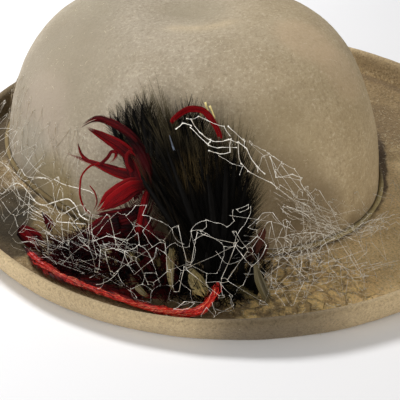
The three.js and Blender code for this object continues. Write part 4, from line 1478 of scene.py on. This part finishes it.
scarletQuill = {
    "seed": 37,
    "route": [(85.5, 6.4, 36.5), (82.5, 5.8, 38), (79.5, 5.7, 39.3), (76, 5.6, 40.6), (72, 5.6, 41.4),
              (68, 5.5, 42), (64, 5.3, 42.6), (60.5, 5.2, 43.4), (57, 5, 44.2), (53.5, 4.9, 45),
              (50.5, 5, 45), (48, 5.4, 44.6), (45.8, 6.5, 43), (44.2, 9, 39.5), (43, 12, 36),
              (42.4, 14.5, 34)],
    "widths": [3, 4.8, 4.4, 3.6, 3.2, 3, 3, 3, 3.3, 3.9, 4.5, 4.9, 4.9, 4.3, 3.4, 2],
    "steps": 200,
    "lumps": (0.78, 1.25),
    "lumpCount": 40,
    "core": 0.62,  # of its half width
    "flatness": 0.7,
    "barbs": 420,
    "barbSteps": 14,
    "barbSides": 4,
    "barbRadius": (0.09, 0.22),
    "looseShare": 0.12,
    "splayFrom": 0.8,  # of the way along
    "twists": 1.4,
    "vane": [(92, 6, 33), (80, 5.6, 38), (68, 5.6, 39), (58, 5.6, 40)],
    "vaneSteps": 40,
    "vaneBarbs": 260,
    "vaneSpread": [(0, 3), (0.3, 6), (1, 4)],
    "vaneRadius": 0.3,
    "deep": shade(172, 10, 9),
    "scarlet": shade(246, 44, 26),
    # painted highlights on the barbs
    "pale": shade(255, 170, 120),
    # painted deep shade on the vane's barbs
    "vaneShade": shade(44, 4, 7),
}


def scarletPaint():
    paint = Paint("scarletQuill")
    tone = paint.attribute("tone")
    glow = tone + 1.6 * (paint.noise(1.5, 4, 0.7) - 0.5)
    colour = paint.mix(scarletQuill["deep"], scarletQuill["scarlet"], paint.step(glow, 0.05, 0.5))
    # painted highlights where the glow is highest
    colour = paint.mix(colour, scarletQuill["pale"], 0.8 * paint.step(glow, 0.8, 1.1))
    # painted deep shade on the vane's barbs behind the cord
    colour = paint.mix(scarletQuill["vaneShade"], colour, paint.step(tone, -0.6, -0.1))
    return paint.surface({"Base Color": colour, "Roughness": 0.42, "Specular IOR Level": 0.4})


def makeQuill():
    dice = np.random.default_rng(scarletQuill["seed"])
    steps = scarletQuill["steps"]
    line = pathLine(scarletQuill["route"], steps)
    share = np.linspace(0, 1, steps)
    half = np.interp(share, np.linspace(0, 1, len(scarletQuill["widths"])), scarletQuill["widths"]) / 2
    lumps = dice.uniform(*scarletQuill["lumps"], scarletQuill["lumpCount"])
    half = half * np.interp(share, np.linspace(0, 1, len(lumps)), lumps)
    along = unit(np.gradient(line, axis=0))
    across = unit(np.cross(along, [0, 0, 1.0]))
    lift = np.cross(across, along)
    parts = [(*tubes(line[None], scarletQuill["core"] * half[None], 8), {"tone": 0.1})]
    # barbs wound along it, each over a part of its length, the last ones splaying past the end
    count, barbSteps, sides = (scarletQuill[k] for k in ("barbs", "barbSteps", "barbSides"))
    t = np.linspace(0, 1, barbSteps)[None]
    first = dice.uniform(-0.05, 0.93, (count, 1))
    at = np.clip(first + dice.uniform(0.05, 0.2, (count, 1)) * t, 0, 1)
    angle = dice.uniform(0, 2 * np.pi, (count, 1)) + dice.normal(0, 5, (count, 1)) * at
    angle = angle + 2 * np.pi * scarletQuill["twists"] * at
    isLoose = dice.random((count, 1)) < scarletQuill["looseShare"]
    loose = np.where(isLoose, dice.uniform(0.1, 0.7, (count, 1)), 0) * t**2
    far = dice.uniform(0.6, 0.95, (count, 1)) + loose
    far = far + 0.9 * np.clip(at - scarletQuill["splayFrom"], 0, 1) * dice.normal(0, 3, (count, 1))
    reach = np.interp(at, share, half) * far
    lines = alongRows(line, share, at)
    lines = lines + alongRows(across, share, at) * (reach * np.cos(angle))[..., None]
    rise = scarletQuill["flatness"] * reach * np.sin(angle)
    lines = lines + alongRows(lift, share, at) * rise[..., None]
    lines = lines + dice.normal(0, 0.18, lines.shape)
    radii = dice.uniform(*scarletQuill["barbRadius"], (count, 1)) * np.sin(np.pi * (0.06 + 0.9 * t))
    flat = keptClear(lines.reshape(-1, 3), 0.45)
    points, faces = tubes(flat.reshape(lines.shape), radii, sides)
    own = np.repeat(dice.uniform(0, 1, count) ** 1.4 * 1.15, barbSteps * sides)
    parts.append((points, faces, {"tone": own}))
    shaft = pathLine(scarletQuill["vane"], scarletQuill["vaneSteps"])
    upward = np.tile([0, 0, 1.0], (len(shaft), 1))
    lines, at = barbs(shaft, upward, dice, scarletQuill["vaneBarbs"], 0.16, scarletQuill["vaneSpread"], 0.8)
    lines = keptClear(lines.reshape(-1, 3), 0.4).reshape(lines.shape)
    points, faces, shades = barbTubes(lines, at, scarletQuill["vaneRadius"], dice, 0.5)
    # a tone below zero gives the vane its painted deep shade
    parts.append((points, faces, {"tone": shades["tone"] * 0.8 - 0.9}))
    return joined(parts)


addPiece("scarlet_rolled_quill", makeQuill(), scarletPaint(), "scarlet_feather", "red_quill")


# veil of thread net, six-sided meshes with small boxes at their corners

veilNet = {
    "falls": [  # bearing, then out and height of the upper edge, of the belly and of the lower edge
        (-30, 2, 13, 7, 10, 12, 0.9),
        (-12, 2, 17, 9, 12, 16, 0.9),
        (2, 2, 27, 12, 16, 24, 0.9),
        (16, 5, 36, 22, 20, 34, 1.2),
        (30, 21, 36, 32, 23, 40, 5),
        (44, 27, 35, 37, 25, 42, 11),
        (60, 27, 34, 36, 25, 41, 11),
        (76, 25, 33, 33, 22, 38, 9),
        (95, 8, 34, 25, 20, 33, 6),
        (120, 2, 32, 15, 18, 22, 0.9),
        (150, 2, 24, 9, 14, 11, 0.9),
    ],
    "tongue": [  # bearing, height, out and half width along its middle
        (9, 26, 6, 3),
        (18, 38, 7, 4),
        (27, 53, 11, 6),
        (36, 66, 18, 5),
    ],
    "boxWide": 0.07,
    "boxTall": 0.07,
    "unevenCells": 0.24,
    "layers": [  # from, to, columns, rows, crumple, extra out, thread radius, tone, seed
        (26, 76, 7, 3, 2, 1, 0.07, 0.6, 1),
        (68, 108, 5, 3, 2.6, 0, 0.06, 0.6, 2),
        (102, 150, 6, 3, 2.4, 0, 0.07, 0.6, 3),
        (-24, 27, 6, 3, 3.4, 0, 0.07, 0.4, 4),
        (6, 28, 4, 2, 3.6, 2, 0.075, 0.6, 9),
    ],
    "front": [  # threads over the plume and the biots: knots of bearing and height
        [(48, 35), (45, 40), (43, 39), (40.5, 37.5), (39, 40), (39, 44)],
        [(38.5, 44), (36, 46), (36, 44.5), (38, 43), (38.5, 44)],
        [(45, 40), (45, 37), (46, 36), (48, 35)],
        [(46, 36), (45, 35), (47.5, 32)],
        [(48, 35), (47.5, 29), (48, 22.5), (45, 20), (43, 20), (41.5, 26.5), (41.5, 30.5), (42, 32),
         (45, 35)],
        [(41.5, 30.5), (39, 31), (38, 37), (36, 41), (35.5, 45)],
        [(39, 31), (38, 30), (34.5, 34), (33, 31), (36, 23.5), (38, 28), (39, 31)],
        [(34.5, 34), (34.5, 37), (36.5, 38), (34, 41), (33, 43), (31, 43), (28.5, 37)],
        [(36, 23.5), (38, 16), (40, 10), (40, 7)],
        [(45, 20), (45, 16.5), (42.5, 17), (40, 12), (40, 7)],
        [(48, 22.5), (50, 20), (53.5, 26), (51.5, 30), (48.5, 29), (48, 35)],
        [(50, 20), (50, 16), (51.5, 13.5), (52, 8)],
        [(53.5, 26), (55.5, 27), (56, 22.5), (55, 18)],
        [(69.5, 24), (68, 30), (65, 37), (63, 37), (61, 34.5), (60, 31), (61.5, 28), (62, 23)],
        [(63, 37), (61, 41), (58.5, 42), (59, 38), (57, 38), (59, 32.5), (56, 27)],
        [(60, 31), (59, 27), (56, 22.5), (59.5, 15.5), (62, 23), (59, 27)],
        [(57, 38), (54.5, 37), (52, 35), (49.5, 30)],
        [(69.5, 24), (66.5, 27.5), (61.5, 28)],
        [(62, 23), (63, 15), (67, 8)],
        [(57, 17), (55, 18), (54, 13), (55.5, 10), (57.5, 12), (57, 17)],
        [(54, 13), (51.5, 13.5)],
        [(52, 8), (49.5, 6.5), (47.5, 8.5), (48, 13), (50, 16)],
        [(47.5, 8.5), (45, 9), (44, 12.5), (45, 16.5)],
        [(45, 9), (43, 6), (40, 7)],
        [(57.5, 12), (59.5, 9.5), (62, 12), (63, 15)],
        [(59.5, 9.5), (59, 6), (55.5, 6), (55.5, 10)],
    ],
    "frontOut": (45, 25, 0.43),  # at this height so far out, and more for each step down
    "frontRadius": 0.086,
    "swell": (0.68, 0.8),  # thickness between knots, and how much more at them
    "slack": 0.06,
    # from, to, columns, rows, top, bottom, thread radius, tone, seed
    "clinging": (88, 144, 11, 3, 46, 18, 0.08, 0.2, 7),
    "threads": [  # thick single threads: radius, then knots of bearing, height and out
        (0.21, [(53, 70, 17), (51.5, 72, 17.5), (49, 72, 18)]),
        (0.15, [(50, 74, 17.5), (47, 76, 18), (44, 75, 18.5), (40, 73, 18.5), (39, 70, 19)]),
        (0.22, [(48.5, 75, 18.5), (46, 70, 19.5), (44, 69, 20), (39, 69.5, 20), (37, 68, 19.5)]),
        (0.19, [(49, 72, 18.5), (44.5, 67, 20), (42, 66, 20.5), (37, 67, 20)]),
        (0.21, [(44, 69, 20), (44.2, 68, 20), (44.5, 67, 20)]),
        (0.19, [(39, 69.5, 20), (39, 64.5, 20), (42, 64.5, 20.5), (44.5, 65, 20.5)]),
        (0.22, [(37, 68, 19.5), (36.5, 60, 19), (35, 56, 18), (28.5, 49, 13)]),
        (0.19, [(37, 68, 19.5), (35, 66, 18.5), (32, 57, 16), (30, 53.5, 14)]),
        (0.2, [(39, 73, 18), (35, 68, 18), (35, 66, 18.5)]),
        (0.16, [(35, 67.5, 16), (29.5, 62, 13), (27, 58.5, 11), (21, 51, 7), (19, 46, 6), (19, 42, 6),
                (16, 34, 5), (16, 31, 5), (9, 23, 4)]),
        (0.15, [(28, 58.5, 11), (27, 50, 11), (22, 49, 8), (19, 45.5, 6)]),
        (0.12, [(42, 63.5, 20.5), (38.5, 60, 20), (36, 58.5, 19), (37, 55, 19)]),
        (0.12, [(28.5, 49, 13), (18, 33, 8), (11.5, 21, 6)]),
        (0.12, [(25, 37.5, 13), (19.5, 31, 10), (15, 24, 9), (8, 15, 7), (3, 10, 6)]),
        (0.1, [(80, 9, 32), (80, 9, 26), (78, 9, 22), (74, 10, 24), (73, 12, 23), (71, 19, 17)]),
        (0.1, [(70, 8, 36), (70, 8, 31), (69, 9, 27), (72, 11, 24), (74, 9, 33)]),
        (0.1, [(69, 9, 39), (66, 9, 34), (65, 9, 31), (64, 12, 27)]),
        (0.1, [(66, 9, 46), (66, 9, 38), (65, 9, 32), (60, 9, 41), (58, 10, 46)]),
        (0.1, [(51, 7, 46), (48.2, 8, 46), (47.2, 11.8, 46), (49, 11.8, 46), (51, 7, 46)]),
        (0.1, [(46.2, 6, 47.5), (45, 9, 46), (43.5, 6, 47), (43, 8, 46), (44, 12.2, 45)]),
        (0.1, [(41, 16.2, 45), (40.5, 11, 46), (42.8, 7.5, 46), (43.8, 6, 47)]),
        (0.11, [(27, 53, 12), (26, 50, 11), (23, 49, 9), (20, 46, 7), (19, 42, 7), (16, 33, 6),
                (15, 27, 6)]),
        (0.11, [(26, 47, 11), (23, 42, 9), (20, 37, 7), (16, 32, 7), (13, 28, 6), (9, 24, 5)]),
        (0.11, [(25, 36, 10), (21, 32, 8), (17, 28, 7), (14, 25, 8), (12, 21, 10), (8, 14, 13),
                (6, 11, 14)]),
        (0.11, [(33, 33, 16), (29, 35, 12), (25, 28, 14), (22, 23, 14), (26, 21, 20), (30, 20, 26)]),
        (0.1, [(35, 16, 36), (30, 19, 28), (26, 20, 21), (23, 20, 17)]),
        (0.1, [(16, 21, 12), (16, 16, 17), (17, 11, 21), (17, 9, 24), (16, 9, 29)]),
        (0.1, [(23, 19, 18), (24, 16, 23), (25, 13, 26), (28, 14, 29), (32, 11, 37), (31, 9, 43)]),
    ],
    "cords": [  # thick curved threads, in the same way
        (0.27, [(114.5, 2, 16), (109, 13.5, 13), (105, 15.5, 12), (98, 12, 12), (94, 14, 12)]),
        (0.25, [(94, 14, 12), (86.5, 22, 11), (83, 22.5, 12), (81, 21, 13), (79, 20, 15), (76, 20, 16)]),
        (0.2, [(112, 15, 9), (110, 20, 9), (106, 19, 9), (97, 25, 9), (93.5, 24, 9), (92, 19, 10),
               (88, 14, 12), (81, 23, 13)]),
        (0.16, [(112, 15, 9), (107, 16, 9), (102, 21, 9), (97, 25, 9)]),
        (0.17, [(88, 14, 12), (87.5, 11.5, 15), (82, 15, 16), (76.5, 18.5, 17)]),
        (0.2, [(91, 4.5, 30), (88, 10, 24), (85, 11, 24), (80.5, 10, 26), (78, 15, 22)]),
        (0.17, [(80.5, 10, 26), (79, 8.5, 33), (78.5, 7, 37)]),
        (0.2, [(72.5, 12, 28), (71, 20, 22), (68.5, 27.5, 20), (66, 32.5, 20)]),
        (0.17, [(120, 16, 12), (116, 15.5, 10), (112, 15, 9)]),
        (0.17, [(116, 15.5, 10), (116, 13, 12), (118.5, 8, 13)]),
        (0.15, [(102, 3, 20), (101, 6, 16), (98, 12, 12)]),
        (0.14, [(93, 27, 9), (88, 28, 10), (78, 33, 14), (75, 34, 16)]),
        (0.14, [(112, 0, 18), (104, 3.5, 20), (102, 3, 20), (95, 4.5, 26)]),
    ],
    # middle, spread and run, each of bearing, height and out; count, radius, tone, seed
    "tangles": [
        ((14, 19, 9), (6, 5, 2), (-6, -7, 1), 16, 0.075, 0.6, 11),
        ((22, 19, 16), (5, 5, 4), (5, -6, 4), 16, 0.08, 0.7, 17),
        ((72, 12, 28), (4, 4, 3), (5, 3, 1), 22, 0.09, 0.9, 12),
        ((81, 9, 31), (5, 3, 4), (6, -1, 2), 12, 0.08, 0.5, 13),
        ((91, 12, 18), (5, 4, 4), (6, 3, 2), 10, 0.09, 0.8, 21),
        ((110, 14, 12), (12, 9, 3), (8, 3, 0), 12, 0.08, 0.5, 14),
        ((18, 9, 28), (8, 1, 6), (-6, 0, 4), 10, 0.075, 0.7, 15),
        ((67, 18, 31), (8, 8, 4), (5, 5, 1), 26, 0.055, 0.9, 23),
        ((75, 11, 36), (6, 4, 3), (6, 2, 0), 12, 0.06, 0.8, 25),
        ((29, 21, 26), (8, 11, 6), (-7, -6, 3), 20, 0.065, 0.8, 24),
    ],
    # start and spread, end and spread, each of bearing, height and out; count, radius, tone, seed
    "fans": [
        ((6, 15, 8), (2, 3, 3), (-13, 8, 14), (7, 1, 6), 30, 0.1, 0.85, 16),
        ((29, 49, 12), (1.5, 4, 1), (7, 15, 6), (2, 2, 1), 30, 0.06, 0.1, 18),
        ((27, 42, 12), (2, 4, 2), (4, 10, 10), (4, 2, 4), 22, 0.075, 0.5, 19),
        ((21, 28, 10), (6, 3, 3), (19, 8, 27), (7, 1, 6), 18, 0.08, 0.6, 20),
    ],
    "tongueNet": (5, 2, 2, 8, 0.08, 0.7),  # columns, rows, crumple, seed, thread radius, tone
    "crumpleSizes": (14, 6),
    "clingingCrumple": 2,
    "seeds": (61, 67),  # of the band and of the tongue
    "atKnots": np.array([1, 0, 1]),  # along a net's thread, its two ends
    "white": shade(250, 247, 238),
    "grey": shade(152, 134, 102),
}


def veilPaint():
    paint = Paint("veilThread")
    twist = paint.noise(0.8, 2)
    tone = paint.attribute("tone")
    colour = paint.mix(veilNet["grey"], veilNet["white"], paint.step(tone + 0.8 * (twist - 0.5), 0, 1))
    return paint.surface({"Base Color": colour, "Roughness": 0.4, "Specular IOR Level": 0.5})


def veilAt(bearing, down):
    falls = np.array(veilNet["falls"], float)
    topOut, topHeight, bellyOut, bellyHeight, lowOut, lowClear = (
        easedTable(falls[:, 0], falls[:, k], bearing) for k in range(1, 7))
    landing = place(bearing, np.full_like(bearing, form["brimFelt"]), lowOut)
    lowHeight = brimTop(landing[..., 0], landing[..., 1]) + lowClear

    def bend(top, belly, low):
        return between(between(top, belly, down), between(belly, low, down), down)

    return bend(topOut, bellyOut, lowOut), bend(topHeight, bellyHeight, lowHeight)


# Lattice of a net in columns and rows: the ends of its threads, two by two.
def netThreads(columns, rows):
    wide, tall = veilNet["boxWide"], veilNet["boxTall"]
    ends = []
    for row in range(rows + 1):
        for col in range(columns + 1):
            x, y = col + (row % 2) / 2, row
            corner = {(i, j): (x + i * wide, y + j * tall) for i in (-1, 1) for j in (-1, 1)}
            ends += [(corner[-1, -1], corner[1, -1]), (corner[-1, 1], corner[1, 1])]
            ends += [(corner[-1, -1], corner[-1, 1]), (corner[1, -1], corner[1, 1])]
            if row < rows:
                for side in (-1, 1):
                    ends.append((corner[side, 1], (x + side * (0.5 - wide), y + 1 - tall)))
    return np.array(ends)


# Threads of a net laid over a surface, crumpled and kept off the felt.
def layNet(surface, columns, rows, crumple, seed):
    dice = np.random.default_rng(seed)
    ends = netThreads(columns, rows)
    corners, index = np.unique(ends.reshape(-1, 2).round(4), axis=0, return_inverse=True)
    index = index.reshape(-1, 2)
    cell = np.round(corners * 2)
    shifts = {tuple(c): dice.normal(0, veilNet["unevenCells"], 2) for c in np.unique(cell, axis=0)}
    corners = corners + np.array([shifts[tuple(c)] for c in cell])
    share = corners[:, 0] / (columns + 0.5)
    points = surface(share, corners[:, 1] / rows)
    coarse, fine = veilNet["crumpleSizes"]
    small = 0.6 * crumple * rippleVector(points, fine, seed + 40)
    points = points + crumple * rippleVector(points, coarse, seed) + small
    points = keptClear(points + dice.normal(0, 0.3, points.shape))
    first, last = points[index].transpose(1, 0, 2)
    middle = (first + last) / 2 + dice.normal(0, 0.25, first.shape)
    keep = ((share > -0.02) & (share < 1.02))[index].all(1)
    return np.stack([first, middle, last], 1)[keep], points


def netTubes(lines, knots, radius, tone, dice, toKnot=0.3):
    thin, more = veilNet["swell"]
    radii = radius * dice.uniform(0.6, 1.3, (len(lines), 1)) * dice.uniform(0.8, 1.2, lines.shape[:2])
    radii = radii * (thin + more * toKnot)
    points, faces = tubes(lines, radii, 4)
    own = np.repeat(np.clip(tone + dice.normal(0, 0.25, lines.size // 3), 0, 1), 4)
    bead = np.array([[1, 0, 0], [0, 1, 0], [-1, 0, 0], [0, -1, 0], [0, 0, 1], [0, 0, -1]], float)
    upper = [[0, 1, 4], [1, 2, 4], [2, 3, 4], [3, 0, 4]]
    sides = np.array(upper + [[b, a, 5] for a, b, _ in upper])
    size = radius * dice.uniform(1.3, 2.4, (len(knots), 1, 1))
    knotPoints = (knots[:, None] + size * bead).reshape(-1, 3)
    knotFaces = (np.arange(len(knots))[:, None, None] * 6 + sides).reshape(-1, 3)
    return joined([(points, faces, {"tone": own}), (knotPoints, knotFaces, {"tone": 1.0})])


def bandSurface(low, high, extra):
    def surface(share, down):
        bearing = between(low, high, share)
        out, height = veilAt(bearing, np.clip(down, 0, 1))
        return place(bearing, height, out + extra)
    return surface


def clingingSurface(low, high, top, bottom):
    def surface(share, down):
        return place(between(low, high, share), between(top, bottom, down), 1)
    return surface


def tongueSurface(share, down):
    line = np.array(veilNet["tongue"], float)
    bearing = between(line[0, 0], line[-1, 0], share)
    height, out, half = (easedTable(line[:, 0], line[:, k], bearing) for k in (1, 2, 3))
    return place(bearing, height + half * (1 - 2 * down), out)


# loose threads about a place, wandering along a run
def tangle(middle, spread, run, count, radius, tone, seed):
    dice = np.random.default_rng(seed)
    start = np.array(middle) + dice.normal(0, 0.6, (count, 1, 3)) * spread
    t = np.linspace(-0.5, 0.5, 5)[None, :, None]
    stops = start + t * np.array(run) * dice.uniform(0.5, 2, (count, 1, 1))
    stops = stops + dice.normal(0, 0.3, (count, t.size, 3)) * spread
    lines = np.stack([smoothLine(place(*stop.T), 17) for stop in stops])
    lines = keptClear(lines.reshape(-1, 3)).reshape(lines.shape)
    return netTubes(lines, lines[:, 4:15:4].reshape(-1, 3), radius, tone, dice)


# loose threads running from one place to another
def fanned(start, startSpread, end, endSpread, count, radius, tone, seed):
    dice = np.random.default_rng(seed)
    first = np.array(start) + dice.uniform(-1, 1, (count, 1, 3)) * startSpread
    last = np.array(end) + dice.uniform(-1, 1, (count, 1, 3)) * endSpread
    begin = dice.uniform(0, 0.6, (count, 1))
    t = begin + dice.uniform(0.15, 0.42, (count, 1)) * np.linspace(0, 1, 9)[None]
    places = between(first, last, t[..., None]) + np.cumsum(dice.normal(0, 0.6, (count, 9, 3)), axis=1)
    points = keptClear(place(*places.reshape(-1, 3).T))
    return netTubes(points.reshape(count, 9, 3), points[4::13], radius, tone, dice)


def threadTubes(radius, knots, dice):
    knots = place(*np.array(knots, float).T) + dice.normal(0, 0.3, (len(knots), 3))
    count = len(knots)
    at = np.linspace(0, count - 1, 6 * count - 5)
    row = np.minimum(at.astype(int), count - 2)
    t = at - row
    lengths = np.linalg.norm(np.diff(knots, axis=0), axis=1)[:, None]
    bow = (dice.normal(0, 1, (count - 1, 3)) - [0, 0, 0.5]) * veilNet["slack"] * lengths
    line = alongRows(knots, np.arange(count), at) + bow[row] * (4 * t * (1 - t))[:, None]
    line = keptClear(line + dice.normal(0, 0.06, line.shape))
    return netTubes(line[None], knots, radius, dice.uniform(0.65, 1), dice, np.abs(2 * t - 1) ** 3)


def cordTubes(radius, knots, dice):
    line = smoothLine(place(*np.array(knots, float).T), 8 * len(knots))
    line = keptClear(line + dice.normal(0, 0.05, line.shape))
    return netTubes(line[None], line[3::8], radius, dice.uniform(0.4, 0.8), dice)


def makeVeil():
    dice = np.random.default_rng(veilNet["seeds"][0])
    parts = []
    for low, high, columns, rows, crumple, extra, radius, tone, seed in veilNet["layers"]:
        lines, knots = layNet(bandSurface(low, high, extra), columns, rows, crumple, seed)
        parts.append(netTubes(lines, knots, radius, tone, dice, veilNet["atKnots"]))
    low, high, columns, rows, top, bottom, radius, tone, seed = veilNet["clinging"]
    surface = clingingSurface(low, high, top, bottom)
    lines, knots = layNet(surface, columns, rows, veilNet["clingingCrumple"], seed)
    parts.append(netTubes(lines, knots, radius, tone, dice, veilNet["atKnots"]))
    for settings in veilNet["tangles"]:
        parts.append(tangle(*settings))
    high, near, slope = veilNet["frontOut"]
    for knots in veilNet["front"]:
        knots = [(bearing, height, near + slope * (high - height)) for bearing, height in knots]
        parts.append(threadTubes(veilNet["frontRadius"], knots, dice))
    return joined(parts)


def makeTongue():
    dice = np.random.default_rng(veilNet["seeds"][1])
    columns, rows, crumple, seed, radius, tone = veilNet["tongueNet"]
    lines, knots = layNet(tongueSurface, columns, rows, crumple, seed)
    parts = [netTubes(lines, knots, radius, tone, dice, veilNet["atKnots"])]
    for radius, knots in veilNet["threads"]:
        parts.append(threadTubes(radius, knots, dice))
    for radius, knots in veilNet["cords"]:
        parts.append(cordTubes(radius, knots, dice))
    for settings in veilNet["fans"]:
        parts.append(fanned(*settings))
    return joined(parts)


veilMaterial = veilPaint()
addPiece("veil_band", makeVeil(), veilMaterial, "veil_thread", "veil")
addPiece("veil_tongue", makeTongue(), veilMaterial, "veil_thread")


# nap of the felt: short fibres that lie along it, and longer pale ones that have worked loose

nap = {
    "seed": 51,
    "count": 12000,
    "length": (0.8, 2.4),
    "radius": 0.035,
    "stand": 0.28,
    "looseCount": 2800,
    "brimShare": 0.55,  # of as many on the brim
    "looseLength": (1.2, 4.2),
    "looseRadius": (0.04, 0.1),
    "rimShare": 0.6,
    "weltShare": 0.3,
    "brimFibres": 0.2,
    "rimFrom": 0.935,  # of the way out to the brim's edge
    "pale": shade(214, 201, 174),
    "dark": shade(116, 102, 80),
}


def napPaint():
    paint = Paint("feltNap")
    tone = paint.attribute("tone") + 0.2 * paint.noise(3, 2)
    colour = paint.mix(nap["dark"], nap["pale"], paint.step(tone, 0.1, 0.9))
    return paint.surface({"Base Color": colour, "Roughness": 0.8, "Specular IOR Level": 0.2})


def scatter(points, quads, count, dice):
    a, b, c, d = (points[quads[:, k]] for k in range(4))
    cross = np.cross(c - a, d - b)
    area = np.linalg.norm(cross, axis=1)
    pick = dice.choice(len(quads), count, p=area / area.sum())
    s, t = dice.random((2, count, 1))
    spot = (a[pick] * (1 - s) + b[pick] * s) * (1 - t) + (d[pick] * (1 - s) + c[pick] * s) * t
    return spot, -unit(cross[pick])


# each fibre turns about the felt's own normal, so that it stays on the felt
def makeNap(points, quads, share, seed):
    dice = np.random.default_rng(seed)
    root, normal = scatter(points, quads, int(share * nap["count"]), dice)
    lie = unit(np.cross(normal, dice.normal(0, 1, root.shape)))
    length = dice.uniform(*nap["length"], (len(root), 1))
    lean = unit(lie + normal * np.abs(dice.normal(0, nap["stand"], (len(root), 1))))
    side = unit(np.cross(lean, normal)) * nap["radius"]
    base = [root + side, root - side, root + normal * nap["radius"] * 1.7]
    corners = np.stack([*base, root + lean * length + normal * 0.06], 1).reshape(-1, 3)
    one = np.array([[0, 1, 3], [1, 2, 3], [2, 0, 3], [0, 2, 1]])
    faces = (np.arange(len(root))[:, None, None] * 4 + one).reshape(-1, 3)
    return corners, faces, {}


def makeFibres(points, quads, share, seed):
    dice = np.random.default_rng(seed)
    root, normal = scatter(points, quads, int(share * nap["looseCount"]), dice)
    count, steps = len(root), 4
    lie = unit(np.cross(normal, dice.normal(0, 1, root.shape)))[:, None]
    aside = np.cross(normal[:, None], lie)
    turn = np.cumsum(dice.normal(0, 0.45, (count, steps)), axis=1)[..., None]
    step = dice.uniform(*nap["looseLength"], (count, 1, 1)) / steps
    lines = root[:, None] + np.cumsum((lie * np.cos(turn) + aside * np.sin(turn)) * step, axis=1)
    lines = lines + normal[:, None] * dice.uniform(0.02, 0.14, (count, steps, 1))
    radii = dice.uniform(*nap["looseRadius"], (count, 1)) * np.ones(steps)
    loose, faces = tubes(lines, radii)
    return loose, faces, {"tone": np.repeat(dice.uniform(0.4, 1, count) ** 0.6, steps * 3)}


def onFloor(points, faces, shades):
    points[:, 2] = np.maximum(points[:, 2], 0.02)
    return points, faces, shades


rimQuads = brimQuads[brimReach(brimPoints[brimQuads].mean(1)) > nap["rimFrom"]]
napMaterial = napPaint()
seed = nap["seed"]
addPiece("crown_nap", makeNap(crownPoints, crownQuads, 1, seed), crownMaterial, "crown_felt")
addPiece("crown_fibres", makeFibres(crownPoints, crownQuads, 1, seed + 1), napMaterial, "crown_felt")
brimNap = [makeNap(brimPoints, brimQuads, nap["brimShare"], seed + 2),
           makeNap(brimPoints, rimQuads, nap["rimShare"], seed + 3)]
points, faces, _ = onFloor(*joined(brimNap))
addPiece("brim_nap", (points, faces, brimShades(points)), brimMaterial, "brim_felt")
addPiece("welt_nap", makeNap(weltPoints, weltQuads, nap["weltShare"], seed + 5), weltMaterial, "welt_felt")
fibres = onFloor(*makeFibres(brimPoints, brimQuads, nap["brimFibres"], seed + 4))
addPiece("brim_fibres", fibres, napMaterial, "brim_felt")
